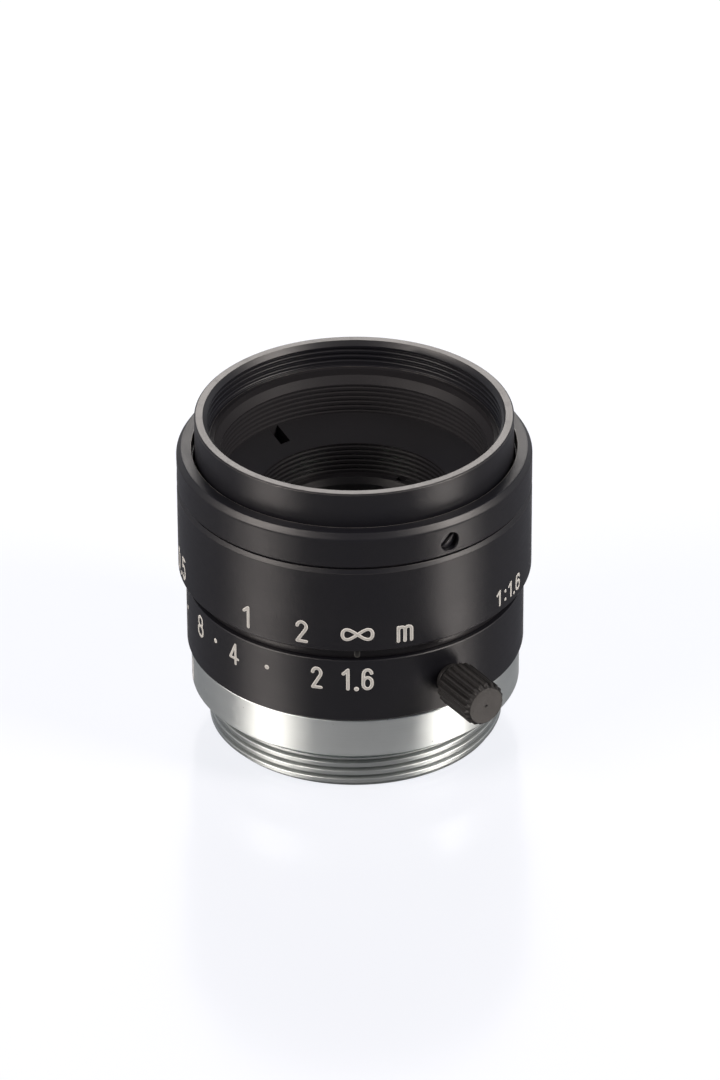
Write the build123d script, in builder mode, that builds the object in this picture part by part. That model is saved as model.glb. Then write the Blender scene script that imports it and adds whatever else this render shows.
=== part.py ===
"""Fixed-focal lens with a C-mount, 25 mm f/1.6, with focus and iris rings.

Millimetres. The origin is the centre of the flange plane, where the lens meets a camera, and +Z runs
forwards along the optical axis. Angles are measured about +Z from +X; the scales face -Y.
The focus ring stands at infinity and the iris wide open.
"""

import os
from math import cos, pi, radians, sin, sqrt

from build123d import *

# Camera mount
thread_r = 12.7  # 1 inch thread, 32 to the inch
thread_length = 4.0  # flange plane to the end of the thread
thread_chamfer = 0.4
thread_wall = 1.5
relief_depth = 0.8  # undercut behind the thread
relief_length = 1.0
flange_relief = 0.1  # the undercut runs this far into the flange
mount_height = 3.65
mount_floor = 0.8  # shelf that the fixed barrel stands on
mount_wall = 0.88
edge_break = 0.2

# Clearances
run_gap = 0.05  # between pieces that turn or slide on each other
seat_gap = 0.02  # between pieces screwed or pressed together
thread_relief_gap = 0.1  # undercut in the flange outside the camera thread
cell_gap = 0.35  # front cell above the blade plate
lip_gap = 0.9  # lip of the front cell outside the open aperture
barrel_end_gap = 0.3  # end of the fixed barrel under the collar
barrel_start_gap = 0.17  # fork above the floor of the fixed barrel
neck_gap = 0.13  # front ring inside the neck
bezel_lip_gap = 0.28  # front ring inside the lip of the bezel
neck_end_gap = 0.1  # neck under the lip of the bezel
iris_bore_gap = 0.15  # round the cam ring
rear_hub_gap = 0.35  # inside the fork of the cam ring
front_air = 0.06  # between front element and crown, on the axis
rear_air = 0.49  # between rear crown and rear element, on the axis

# Fixed barrel, measured outwards from the bore that the lens barrel slides in
barrel_step = 0.1  # lens barrel inside the camera thread
spigot_wall = 0.65  # in the mount ring
journal_wall = 0.95  # the iris ring turns on it
helicoid_wall = 1.45  # the focus ring is threaded on it
floor_ledge = 1.1
index_band = 1.2  # strip with the index mark, between the two rings

# Iris ring
iris_ring_wall = 0.9
iris_ring_height = 6.2
iris_chamfer = 0.3
iris_turn = 92.0  # degrees, f/1.6 to f/16

# Focus ring
focus_ring_height = 8.0
focus_lower_chamfer = 0.15
band_chamfer = 0.34  # both sides of the line between focus ring and bezel
focus_flange = 0.75  # inward flange that carries the lens barrel
neck_wall = 0.55
focus_turn = 80.0  # degrees, infinity to half a metre
focus_lead = 6.2  # advance in one whole turn

# Bezel
bezel_height = 3.45
bezel_wall = 0.88
bezel_chamfer_r = 0.4
bezel_chamfer_z = 0.53
bezel_lip = 1.0
bezel_screw_r = 0.85
bezel_screw_length = 0.7
bezel_screw_share = 0.42  # of the bezel's height
bezel_screw_angle = -58.3
bezel_screws = 3

# Front ring with the filter thread
front_ring_wall = 1.3
rim_rise = 3.0  # above the bezel
filter_ledge = 0.23  # between the filter thread and the end of the lens barrel
filter_depth = 2.3
rim_chamfer_r = 0.35
rim_chamfer_z = 0.4

# Lens barrel
nose_step = 0.3  # the front ring is screwed on the nose
barrel_front_wall = 0.68
barrel_lip = 0.6
barrel_cone = 0.7
cone_step = 0.05
barrel_wall = 1.15
cell_recess = 2.8  # thread that shows above the front cell
groove_pitch = 0.46
groove_depth = 0.16
capture_rim = 0.8  # collar under the flange of the focus ring
capture_height = 0.75
web_ledge = 1.15
iris_wall = 1.6

# Guide key and focus stop
key_r = 0.7
key_height = 3.55  # above the shoulder of the fixed barrel
key_angle = 90.0
key_slot_depth = 0.65
stop_pin_r = 0.5
stop_pin_height = 1.05  # above the lower edge of the focus ring
stop_pin_angle = 150.0
stop_pocket_depth = 0.6

# Iris mechanism
aperture_share = 0.42857  # of the lens barrel's radius
blades = 6
blade_clearance = 0.2  # round the open aperture
blade_span = 120.0
blade_swing = 29.0  # degrees that a blade turns on its pivot
blade_thickness = 0.1
blade_pitch = 0.14  # from one blade to the next
pivot_step = 1.1  # inside the bore
pivot_pin_r = 0.25
pivot_clearance = 0.55  # between the pivot pins and the band of a blade
pivot_ear_r = 0.6
drive_arm = 3.0  # pivot pin to driving pin
drive_angle = 95.0
drive_ear_r = 0.5
blade_plate_thickness = 0.5
cam_reach = 2.7  # inside the circle of the pivots
cam_thickness = 0.8
fork_width = 2.6
fork_wall = 0.9
fork_tail = 0.6
iris_pin_r = 0.5
iris_pin_height = 1.55  # above the lower edge of the iris ring
iris_pin_angle = 190.0

# Lock screw of the iris ring
lock_angle = -56.8
lock_height = 3.05  # above the lower edge of the iris ring
lock_thread_r = 0.85
lock_neck_r = 1.35
lock_neck = 0.5
lock_head_r = 2.0
lock_head = 5.0
lock_head_chamfer = 0.25
lock_flutes = 18
lock_flute_depth = 0.16
lock_pad_thickness = 0.35

# Front group; a bend share is a face's edge radius over its radius of curvature
front_glass_share = 0.6627  # of the lens barrel's radius
cell_face_step = 0.05
cell_face_drop = 1.3
cell_clearance = 0.1  # round the body of the cell
cell_lip = 0.4
web_height = 4.0
spanner_slot_width = 1.0
spanner_slot_length = 1.8
spanner_slot_depth = 0.8
spanner_slot_angle = 128.0
front_ring_thickness = 1.2
front_ring_lap = 1.05
front_notch_angle = 60.0
notch_width = 0.8
notch_depth = 0.5
front_edge = 1.3  # thickness of the front element at its edge
front_bend_share = 0.3195
front_back_bend_share = 0.1383
front_spacer_wall = 0.35  # inside the edge of the front crown
doublet_step = 0.95
crown_edge = 0.18
crown_bend_share = 0.408
flint_centre = 0.57  # thickness on the axis
flint_bend_share = 0.54

# Rear group
rear_flange = 0.8
rear_flange_drop = 1.4  # under the cam ring
rear_glass_share = 0.5754  # of the lens barrel's radius
rear_wall = 1.15
rear_step = 0.6
rear_lip = 0.4
rear_lip_width = 1.05
rear_flint_rim = 0.4
rear_flint_centre = 0.45
rear_flint_bend_share = 0.578
rear_crown_edge = 0.28
rear_crown_bend_share = 0.55
rear_spacer_wall = 0.7
rear_element_edge = 0.6
rear_front_bend_share = 0.327
rear_back_bend_share = 0.12
rear_ring_thickness = 0.9
rear_ring_lap = 1.05
rear_notch_angle = 20.0
cell_screw_r = 0.45
cell_screw_head_r = 0.75
cell_screw_head = 0.35
cell_screw_length = 1.6
cell_screw_step = 80.0

# Radii outwards from the lens barrel
relief_r = thread_r - relief_depth
spigot_bore_r = thread_r - thread_wall
barrel_r = thread_r - barrel_step
slide_r = barrel_r + run_gap
barrel_floor_r = barrel_r - floor_ledge
spigot_r = slide_r + spigot_wall
flange_r = spigot_r + seat_gap + mount_wall
journal_r = slide_r + journal_wall
iris_ring_r = journal_r + run_gap + iris_ring_wall
helicoid_r = slide_r + helicoid_wall
capture_r = barrel_r + capture_rim
nose_r = barrel_r - nose_step
ring_seat_r = nose_r + seat_gap
front_ring_r = ring_seat_r + front_ring_wall
filter_r = ring_seat_r + filter_ledge  # crest of the M25.5 x 0.5 thread
rim_inner_r = filter_r + rim_chamfer_r
neck_bore_r = front_ring_r + neck_gap
neck_r = neck_bore_r + neck_wall
bezel_lip_r = front_ring_r + bezel_lip_gap
focus_ring_r = neck_r + seat_gap + bezel_wall

# Radii inwards from the lens barrel
barrel_front_r = barrel_r - barrel_front_wall
cell_thread_r = barrel_r - barrel_wall
barrel_cone_r = cell_thread_r + cone_step
web_bore_r = cell_thread_r - web_ledge
iris_bore_r = barrel_r - iris_wall
cell_body_r = web_bore_r - cell_clearance
front_bore_r = barrel_r * front_glass_share
cell_face_r = front_bore_r + cell_face_step
front_ring_bore_r = front_bore_r - front_ring_lap
doublet_bore_r = front_bore_r - doublet_step
aperture_r = barrel_r * aperture_share
cell_lip_r = aperture_r + lip_gap
pivot_r = iris_bore_r - pivot_step
blade_in_r = aperture_r + blade_clearance
blade_out_r = pivot_r - pivot_pin_r - pivot_clearance
cam_in_r = pivot_r - cam_reach
cam_r = iris_bore_r - iris_bore_gap
fork_r = cam_r - fork_wall
rear_hub_r = fork_r - rear_hub_gap
rear_bore_r = barrel_r * rear_glass_share
rear_tube_r = rear_bore_r + rear_wall
rear_doublet_bore_r = rear_bore_r - rear_step
rear_lip_r = rear_doublet_bore_r - rear_lip_width
rear_ring_bore_r = rear_bore_r - rear_ring_lap

# Heights along the axis
iris_z = mount_height + run_gap
collar_z = iris_z + iris_ring_height + run_gap
focus_z = collar_z + index_band
focus_top = focus_z + focus_ring_height
focus_flange_z = focus_top - focus_flange
capture_top = focus_flange_z - run_gap
capture_z = capture_top - capture_height
fixed_top = capture_z - barrel_end_gap
bezel_top = focus_top + bezel_height
bezel_lip_z = bezel_top - bezel_lip
bezel_screw_z = focus_top + bezel_height * bezel_screw_share
neck_top = bezel_lip_z - neck_end_gap
front_ring_z = focus_top + run_gap
front_top = bezel_top + rim_rise
barrel_top = front_top - filter_depth
barrel_cone_z = barrel_top - barrel_lip - barrel_cone
cell_face_z = barrel_cone_z - cell_recess
cell_bore_top = cell_face_z - cell_face_drop
focus_travel = focus_lead * focus_turn / 360
iris_pin_z = iris_z + iris_pin_height
cam_z = iris_pin_z + iris_pin_r + run_gap
cam_top = cam_z + cam_thickness
blade_gap = blade_pitch - blade_thickness
stack_z = cam_top + blade_gap + seat_gap
plate_z = stack_z + blades * blade_pitch
plate_top = plate_z + blade_plate_thickness
web_top = plate_top + web_height
cell_z = plate_top + cell_gap
rear_flange_top = cam_z - rear_flange_drop
rear_flange_z = rear_flange_top - rear_flange
fork_z = iris_pin_z - focus_travel - iris_pin_r - fork_tail
fixed_floor_z = fork_z - barrel_start_gap
lock_z = iris_z + lock_height
key_z = collar_z + key_height
stop_z = focus_z + stop_pin_height


def turned(*outline, mode=Mode.ADD):
    """Turn a closed outline of (radius, height) points about the optical axis."""
    with BuildSketch(Plane.XZ) as profile:
        with BuildLine():
            Polyline(*outline, close=True)
        make_face()
    revolve(profile.sketch, axis=Axis.Z, mode=mode)


def sector_cut(r_in, r_out, z_low, z_high, start, end):
    """Cut a pocket round the axis from one angle to another."""
    out = Vector(cos(radians(start)), sin(radians(start)), 0)
    with BuildSketch(Plane(origin=(0, 0, 0), x_dir=out, z_dir=out.cross(Vector(0, 0, 1)))) as profile:
        with BuildLine():
            Polyline((r_in, z_low), (r_out, z_low), (r_out, z_high), (r_in, z_high), close=True)
        make_face()
    revolve(profile.sketch, axis=Axis.Z, revolution_arc=end - start, mode=Mode.SUBTRACT)


def radial_plane(angle, radius, height):
    """A plane square to the radius at this angle, with its x axis along the rim and its y axis up."""
    out = Vector(cos(radians(angle)), sin(radians(angle)), 0)
    along = Vector(-sin(radians(angle)), cos(radians(angle)), 0)
    return Plane(origin=out * radius + Vector(0, 0, height), x_dir=along, z_dir=out)


def radial_pin(angle, height, r_pin, r_from, r_to, mode=Mode.ADD):
    """A round pin or hole that points outwards."""
    with BuildSketch(radial_plane(angle, r_from, height)) as section:
        Circle(r_pin)
    extrude(section.sketch, amount=r_to - r_from, mode=mode)


def sag(curve, r):
    """Depth of a spherical surface at this distance from the axis."""
    return curve - sqrt(curve * curve - r * r)


def lens_element(r, low_edge, high_edge, low_sag, high_sag, flat_r=None):
    """Turn a lens between two edge heights; each face rises by its sag (plus or minus) on the axis.

    With flat_r, the concave face is ground inside that radius and flat outside it.
    """
    inner = flat_r or r
    low_r = inner if low_sag > 0 else r
    high_r = inner if high_sag < 0 else r
    with BuildSketch(Plane.XZ) as profile:
        with BuildLine():
            face_arc(low_r, low_edge, low_sag)
            if low_r < r:
                Line((low_r, low_edge), (r, low_edge))
            Line((r, low_edge), (r, high_edge))
            if high_r < r:
                Line((r, high_edge), (high_r, high_edge))
            face_arc(high_r, high_edge, high_sag)
            Line((0, low_edge + low_sag), (0, high_edge + high_sag))
        make_face()
    revolve(profile.sketch, axis=Axis.Z)


def face_arc(r, edge, rise):
    """Half of one lens face, from the axis to its edge; a flat face has no rise."""
    if rise == 0:
        Line((0, edge), (r, edge))
    else:
        curve = (r * r + rise * rise) / (2 * abs(rise))
        side = 1 if rise > 0 else -1
        mid = edge + rise - side * sag(curve, r / 2)
        ThreePointArc((0, edge + rise), (r / 2, mid), (r, edge))


def thread_ridges(r, low, high, mode=Mode.SUBTRACT):
    """Cut a row of fine V grooves in a bore, the stray-light trap seen above each retained piece."""
    count = int((high - low) / groove_pitch)
    for i in range(count):
        z = high - (i + 0.5) * groove_pitch
        turned(
            (r - groove_depth, z - groove_pitch / 2),
            (r + groove_depth, z),
            (r - groove_depth, z + groove_pitch / 2),
            mode=mode,
        )


# Mount ring: thread, undercut and flange, with a counterbore for the fixed barrel
with BuildPart() as mount_ring:
    turned(
        (spigot_bore_r, -thread_length),
        (thread_r - thread_chamfer, -thread_length),
        (thread_r, thread_chamfer - thread_length),
        (thread_r, -relief_length),
        (relief_r, -relief_length),
        (relief_r, flange_relief),
        (thread_r + thread_relief_gap, flange_relief),
        (thread_r + thread_relief_gap, 0),
        (flange_r - edge_break, 0),
        (flange_r, edge_break),
        (flange_r, mount_height),
        (spigot_r + seat_gap, mount_height),
        (spigot_r + seat_gap, mount_floor),
        (spigot_bore_r, mount_floor),
    )

# Fixed barrel: spigot, journal of the iris ring and outer thread of the helicoid
with BuildPart() as fixed_barrel:
    turned(
        (barrel_floor_r, mount_floor),
        (spigot_r, mount_floor),
        (spigot_r, mount_height),
        (journal_r, mount_height),
        (journal_r, collar_z),
        (helicoid_r, collar_z),
        (helicoid_r, fixed_top),
        (slide_r, fixed_top),
        (slide_r, fixed_floor_z),
        (barrel_floor_r, fixed_floor_z),
    )
    pin_end = (iris_pin_r + run_gap) / barrel_r * 180 / pi
    sector_cut(
        barrel_r - 0.5,
        journal_r + 0.2,
        iris_pin_z - iris_pin_r - run_gap,
        iris_pin_z + iris_pin_r + run_gap,
        iris_pin_angle - pin_end,
        iris_pin_angle + iris_turn + pin_end,
    )
    radial_pin(key_angle, key_z, key_r + seat_gap, barrel_r - 0.5, helicoid_r + 0.5, Mode.SUBTRACT)
    stop_end = (stop_pin_r + run_gap) / (helicoid_r - stop_pocket_depth) * 180 / pi
    sector_cut(
        helicoid_r - stop_pocket_depth,
        helicoid_r + 0.2,
        stop_z - stop_pin_r - run_gap,
        stop_z + focus_travel + stop_pin_r + run_gap,
        stop_pin_angle - stop_end,
        stop_pin_angle + focus_turn + stop_end,
    )

# Guide key: pressed in the fixed barrel, keeps the lens barrel from turning
with BuildPart() as guide_key:
    radial_pin(key_angle, key_z, key_r, barrel_r - key_slot_depth + run_gap, helicoid_r - run_gap)

# Iris ring: turns on the journal between mount ring and fixed barrel
with BuildPart() as iris_ring:
    turned(
        (journal_r + run_gap, iris_z),
        (iris_ring_r - iris_chamfer, iris_z),
        (iris_ring_r, iris_z + iris_chamfer),
        (iris_ring_r, iris_z + iris_ring_height - edge_break),
        (iris_ring_r - edge_break, iris_z + iris_ring_height),
        (journal_r + run_gap, iris_z + iris_ring_height),
    )
    radial_pin(lock_angle, lock_z, lock_thread_r + run_gap, journal_r - 0.5, iris_ring_r + 1, Mode.SUBTRACT)
    pin_hole_r = iris_pin_r + seat_gap
    radial_pin(iris_pin_angle, iris_pin_z, pin_hole_r, journal_r - 0.5, iris_ring_r - 0.25, Mode.SUBTRACT)

# Pin that carries the turn of the iris ring to the cam ring
with BuildPart() as iris_drive_pin:
    radial_pin(iris_pin_angle, iris_pin_z, iris_pin_r, fork_r + run_gap, iris_ring_r - 0.3)

# Lock screw with a straight knurl, and the soft pad that it presses on the journal
pad_start = journal_r + 0.03
screw_start = pad_start + lock_pad_thickness + seat_gap
neck_start = iris_ring_r + run_gap
head_start = neck_start + lock_neck
with BuildPart() as iris_lock_pad:
    radial_pin(lock_angle, lock_z, lock_thread_r - run_gap, pad_start, pad_start + lock_pad_thickness)

with BuildPart() as iris_lock_screw:
    with BuildSketch(radial_plane(lock_angle, head_start, lock_z)):
        with BuildLine():
            rim = []
            for i in range(2 * lock_flutes):
                flute = lock_head_r - lock_flute_depth * (i % 2)
                turn = pi * i / lock_flutes
                rim.append((flute * cos(turn), flute * sin(turn)))
            Polyline(*rim, close=True)
        make_face()
    extrude(amount=lock_head)
    with BuildSketch(radial_plane(lock_angle, head_start, lock_z)):
        Circle(lock_head_r - lock_head_chamfer)
    extrude(amount=lock_head_r + 2 * lock_head, taper=-45, mode=Mode.INTERSECT)
    with BuildSketch(radial_plane(lock_angle, head_start + lock_head, lock_z)):
        Circle(lock_head_r - lock_head_chamfer)
    extrude(amount=-lock_head, taper=-45, mode=Mode.INTERSECT)
    radial_pin(lock_angle, lock_z, lock_neck_r, neck_start, head_start)
    radial_pin(lock_angle, lock_z, lock_thread_r, screw_start, neck_start)

# Focus ring: inner thread, flange that carries the lens barrel and neck for the bezel
with BuildPart() as focus_ring:
    turned(
        (helicoid_r + run_gap, focus_z),
        (focus_ring_r - focus_lower_chamfer, focus_z),
        (focus_ring_r, focus_z + focus_lower_chamfer),
        (focus_ring_r, focus_top - band_chamfer),
        (focus_ring_r - band_chamfer, focus_top),
        (neck_r, focus_top),
        (neck_r, neck_top),
        (neck_bore_r, neck_top),
        (neck_bore_r, focus_top),
        (slide_r, focus_top),
        (slide_r, focus_flange_z),
        (helicoid_r + run_gap, focus_flange_z),
    )
    stop_hole_r = stop_pin_r + seat_gap
    radial_pin(stop_pin_angle, stop_z, stop_hole_r, helicoid_r - 0.5, focus_ring_r - 0.35, Mode.SUBTRACT)

# Stop pin: runs in the pocket of the fixed barrel and ends the turn at infinity and near focus
with BuildPart() as focus_stop_pin:
    pocket_r = helicoid_r - stop_pocket_depth
    radial_pin(stop_pin_angle, stop_z, stop_pin_r, pocket_r + run_gap, focus_ring_r - 0.4)

# Bezel: sleeve over the neck of the focus ring, held by radial set screws
with BuildPart() as front_bezel:
    turned(
        (neck_r + seat_gap, focus_top),
        (focus_ring_r - band_chamfer, focus_top),
        (focus_ring_r, focus_top + band_chamfer),
        (focus_ring_r, bezel_top - bezel_chamfer_z),
        (focus_ring_r - bezel_chamfer_r, bezel_top),
        (bezel_lip_r, bezel_top),
        (bezel_lip_r, bezel_lip_z),
        (neck_r + seat_gap, bezel_lip_z),
    )
    for i in range(bezel_screws):
        radial_pin(
            bezel_screw_angle + 360 / bezel_screws * i,
            bezel_screw_z,
            bezel_screw_r + run_gap,
            neck_r - 0.5,
            focus_ring_r + 0.5,
            Mode.SUBTRACT,
        )

with BuildPart() as bezel_set_screws:
    for i in range(bezel_screws):
        angle = bezel_screw_angle + 360 / bezel_screws * i
        screw_end = neck_r + seat_gap + bezel_screw_length
        radial_pin(angle, bezel_screw_z, bezel_screw_r, neck_r + seat_gap, screw_end)
        with BuildSketch(radial_plane(angle, screw_end, bezel_screw_z)):
            Rectangle(3 * bezel_screw_r, 0.3, rotation=45)
        extrude(amount=-0.3, mode=Mode.SUBTRACT)

# Front ring: filter thread above, screwed on the nose of the lens barrel below
with BuildPart() as front_ring:
    turned(
        (ring_seat_r, front_ring_z),
        (front_ring_r, front_ring_z),
        (front_ring_r, front_top - 0.1),
        (front_ring_r - 0.12, front_top),
        (rim_inner_r, front_top),
        (filter_r, front_top - rim_chamfer_z),
        (filter_r, barrel_top),
        (ring_seat_r, barrel_top),
    )

# Lens barrel: carries both lens groups and the iris, and slides in the fixed barrel
screw_circle_r = (barrel_r + iris_bore_r) / 2
first_screw = iris_pin_angle + iris_turn / 2 + 180 - cell_screw_step
with BuildPart() as lens_barrel:
    turned(
        (iris_bore_r, rear_flange_top),
        (barrel_r, rear_flange_top),
        (barrel_r, capture_z),
        (capture_r, capture_z),
        (capture_r, capture_top),
        (barrel_r, capture_top),
        (barrel_r, front_ring_z - seat_gap),
        (nose_r, front_ring_z - seat_gap),
        (nose_r, barrel_top),
        (barrel_front_r, barrel_top),
        (barrel_front_r, barrel_top - barrel_lip),
        (barrel_cone_r, barrel_cone_z),
        (cell_thread_r, barrel_cone_z),
        (cell_thread_r, web_top),
        (web_bore_r, web_top),
        (web_bore_r, plate_top),
        (iris_bore_r, plate_top),
    )
    thread_ridges(cell_thread_r, cell_face_z, barrel_cone_z)
    notch_end = (iris_pin_r + 0.25) / iris_bore_r * 180 / pi
    sector_cut(
        iris_bore_r - 0.5,
        barrel_r + 0.5,
        rear_flange_top - 0.5,
        iris_pin_z + iris_pin_r + 0.1,
        iris_pin_angle - notch_end,
        iris_pin_angle + iris_turn + notch_end,
    )
    with BuildSketch(radial_plane(key_angle, barrel_r - key_slot_depth, key_z - focus_travel / 2)):
        SlotCenterToCenter(focus_travel + 0.2, 2 * (key_r + run_gap), rotation=90)
    extrude(amount=2 * key_slot_depth, mode=Mode.SUBTRACT)
    for i in range(3):
        with Locations(Plane.XY.offset(rear_flange_z).rotated((0, 0, first_screw + i * cell_screw_step))):
            with Locations((screw_circle_r, 0)):
                Cylinder(
                    cell_screw_r + seat_gap,
                    cell_screw_length + 0.1,
                    align=(Align.CENTER, Align.CENTER, Align.MIN),
                    mode=Mode.SUBTRACT,
                )

# Front cell: coned face with spanner slots, screwed into the lens barrel
doublet_r = doublet_bore_r - run_gap
front_element_r = front_bore_r - run_gap
flint_rise = sag(aperture_r / flint_bend_share, aperture_r)
crown_curve = doublet_r / crown_bend_share
crown_rise = sag(crown_curve, doublet_r)
front_curve = front_element_r / front_bend_share
front_rise = sag(front_curve, front_element_r)
front_back_rise = sag(front_element_r / front_back_bend_share, front_element_r)
doublet_z = cell_z + cell_lip
flint_top = doublet_z + flint_centre + flint_rise
crown_z = flint_top + seat_gap
spacer_z = crown_z + crown_edge
front_z = spacer_z + crown_rise + front_air - front_back_rise
spacer_top = front_z - run_gap
front_edge_top = front_z + front_edge
front_seat_z = front_edge_top + front_rise - sag(front_curve, front_ring_bore_r) + run_gap
with BuildPart() as front_cell:
    turned(
        (cell_lip_r, cell_z),
        (cell_body_r, cell_z),
        (cell_body_r, web_top),
        (cell_thread_r - seat_gap, web_top),
        (cell_thread_r - seat_gap, cell_face_z),
        (cell_face_r, cell_bore_top),
        (front_bore_r, cell_bore_top),
        (front_bore_r, spacer_z),
        (doublet_bore_r, spacer_z),
        (doublet_bore_r, doublet_z),
        (cell_lip_r, doublet_z),
    )
    thread_ridges(front_bore_r, front_seat_z + front_ring_thickness, cell_bore_top)
    slot_r = cell_thread_r - spanner_slot_length / 2
    for turn in (0, 180):
        with BuildSketch(Plane.XY.offset(cell_face_z)):
            with PolarLocations(slot_r, 1, start_angle=spanner_slot_angle + turn):
                Rectangle(spanner_slot_length, spanner_slot_width)
        extrude(amount=-spanner_slot_depth - spanner_slot_length / 3, mode=Mode.SUBTRACT)

with BuildPart() as front_retaining_ring:
    turned(
        (front_ring_bore_r, front_seat_z),
        (front_bore_r - seat_gap, front_seat_z),
        (front_bore_r - seat_gap, front_seat_z + front_ring_thickness),
        (front_ring_bore_r + 0.3, front_seat_z + front_ring_thickness),
        (front_ring_bore_r, front_seat_z + front_ring_thickness / 2),
    )
    with BuildSketch(Plane.XY.offset(front_seat_z + front_ring_thickness)):
        with PolarLocations(front_bore_r, 2, start_angle=front_notch_angle):
            Rectangle(front_bore_r - front_ring_bore_r, notch_width)
    extrude(amount=-notch_depth, mode=Mode.SUBTRACT)

with BuildPart() as front_element:
    lens_element(front_element_r, front_z, front_edge_top, front_back_rise, front_rise)

spacer_bore_r = doublet_r - front_spacer_wall
with BuildPart() as front_spacer:
    turned(
        (spacer_bore_r, spacer_z + crown_rise - sag(crown_curve, spacer_bore_r) + run_gap),
        (doublet_bore_r, spacer_z),
        (front_element_r, spacer_z),
        (front_element_r, spacer_top),
        (spacer_bore_r, spacer_top),
    )

with BuildPart() as front_crown:
    lens_element(doublet_r, crown_z, spacer_z, 0, crown_rise)

with BuildPart() as front_flint:
    lens_element(doublet_r, doublet_z, flint_top, flint_rise, 0, flat_r=aperture_r)

# Blade plate: fixed plate of the iris, with a hole for each blade's pivot
with BuildPart() as blade_plate:
    turned(
        (aperture_r, plate_z),
        (iris_bore_r - run_gap, plate_z),
        (iris_bore_r - run_gap, plate_top),
        (aperture_r + blade_plate_thickness, plate_top),
    )
    with BuildSketch(Plane.XY.offset(plate_z)):
        with PolarLocations(pivot_r, blades):
            Circle(pivot_pin_r + run_gap)
    extrude(amount=blade_plate_thickness, mode=Mode.SUBTRACT)

# Iris blades: one flat crescent each, with a pivot pin above and a driving pin below
drive_x = pivot_r + drive_arm * cos(radians(drive_angle))
drive_y = drive_arm * sin(radians(drive_angle))
band_mid_r = (blade_in_r + blade_out_r) / 2


def iris_blade(level):
    """Draw one blade at its own height and angle in the part being built."""
    low = plate_z - (level + 1) * blade_pitch
    turn = 360 / blades * level
    with BuildSketch(Plane.XY.offset(low).rotated((0, 0, turn))) as crescent:
        with BuildLine():
            outer = CenterArc((0, 0), blade_out_r, 0, blade_span)
            inner = CenterArc((0, 0), blade_in_r, 0, blade_span)
            Line(outer @ 0, inner @ 0)
            Line(outer @ 1, inner @ 1)
        make_face()
        with PolarLocations(band_mid_r, 1, start_angle=blade_span):
            Circle((blade_out_r - blade_in_r) / 2)
        with Locations((pivot_r, 0), (drive_x, drive_y)):
            Circle(drive_ear_r)
        with Locations((pivot_r, 0)):
            Circle(pivot_ear_r)
        neck_x = (pivot_r + band_mid_r) / 2
        with Locations((neck_x, 0)):
            Rectangle(pivot_r - band_mid_r, 2 * pivot_ear_r)
        with Locations(((drive_x + band_mid_r) / 2, drive_y)):
            Rectangle(drive_x - band_mid_r, 2 * drive_ear_r)
    extrude(crescent.sketch, amount=blade_thickness)
    with BuildSketch(Plane.XY.offset(low).rotated((0, 0, turn))) as pivot:
        with Locations((pivot_r, 0)):
            Circle(pivot_pin_r)
    extrude(pivot.sketch, amount=plate_top - 0.1 - low)
    with BuildSketch(Plane.XY.offset(cam_z + 0.1).rotated((0, 0, turn))) as driver:
        with Locations((drive_x, drive_y)):
            Circle(pivot_pin_r)
    extrude(driver.sketch, amount=low - cam_z - 0.1)


with BuildPart() as iris_blade_1:
    iris_blade(0)

with BuildPart() as iris_blade_2:
    iris_blade(1)

with BuildPart() as iris_blade_3:
    iris_blade(2)

with BuildPart() as iris_blade_4:
    iris_blade(3)

with BuildPart() as iris_blade_5:
    iris_blade(4)

with BuildPart() as iris_blade_6:
    iris_blade(5)


def cam_point(share):
    """Where a driving pin stands on the cam ring when this share of the iris turn is done."""
    swing = radians(drive_angle + blade_swing * share)
    back = radians(-iris_turn * share)
    x = pivot_r + drive_arm * cos(swing)
    y = drive_arm * sin(swing)
    return (x * cos(back) - y * sin(back), x * sin(back) + y * cos(back))


# Cam ring: a curved slot for each driving pin, and a fork for the pin of the iris ring
with BuildPart() as iris_cam_ring:
    turned((cam_in_r, cam_z), (cam_r, cam_z), (cam_r, cam_top), (cam_in_r, cam_top))
    for i in range(blades):
        with BuildSketch(Plane.XY.offset(cam_z).rotated((0, 0, 360 / blades * i))):
            with BuildLine(mode=Mode.PRIVATE) as path:
                ThreePointArc(cam_point(0), cam_point(0.5), cam_point(1))
            SlotArc(path.edge(), 2 * (pivot_pin_r + run_gap))
        extrude(amount=cam_thickness, mode=Mode.SUBTRACT)
    with BuildSketch(radial_plane(iris_pin_angle, fork_r, (fork_z + cam_z) / 2)):
        Rectangle(fork_width, cam_z - fork_z)
    extrude(amount=fork_wall + 0.5)
    with BuildSketch(Plane.XY.offset(fork_z)):
        Circle(cam_r)
    extrude(amount=cam_top - fork_z, mode=Mode.INTERSECT)
    with BuildSketch(radial_plane(iris_pin_angle, fork_r - 0.1, (fork_z + cam_z) / 2)):
        Rectangle(2 * (iris_pin_r + run_gap), cam_z - fork_z)
    extrude(amount=fork_wall + 0.5, mode=Mode.SUBTRACT)

# Rear cell: hub under the cam ring, flange on the lens barrel and tube for the rear glass
rear_doublet_r = rear_doublet_bore_r - run_gap
rear_element_r = rear_bore_r - run_gap
rear_flint_flat_r = rear_lip_r - rear_flint_rim
rear_flint_rise = sag(rear_flint_flat_r / rear_flint_bend_share, rear_flint_flat_r)
rear_crown_curve = rear_doublet_r / rear_crown_bend_share
rear_crown_rise = sag(rear_crown_curve, rear_doublet_r)
rear_front_curve = rear_element_r / rear_front_bend_share
rear_front_rise = sag(rear_front_curve, rear_element_r)
rear_back_curve = rear_element_r / rear_back_bend_share
rear_back_rise = sag(rear_back_curve, rear_element_r)
rear_doublet_top = cam_z - run_gap - rear_lip
rear_flint_z = rear_doublet_top - rear_flint_centre - rear_flint_rise
rear_crown_top = rear_flint_z - seat_gap
rear_crown_z = rear_crown_top - rear_crown_edge
rear_spacer_bore_r = rear_doublet_r - rear_spacer_wall
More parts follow.
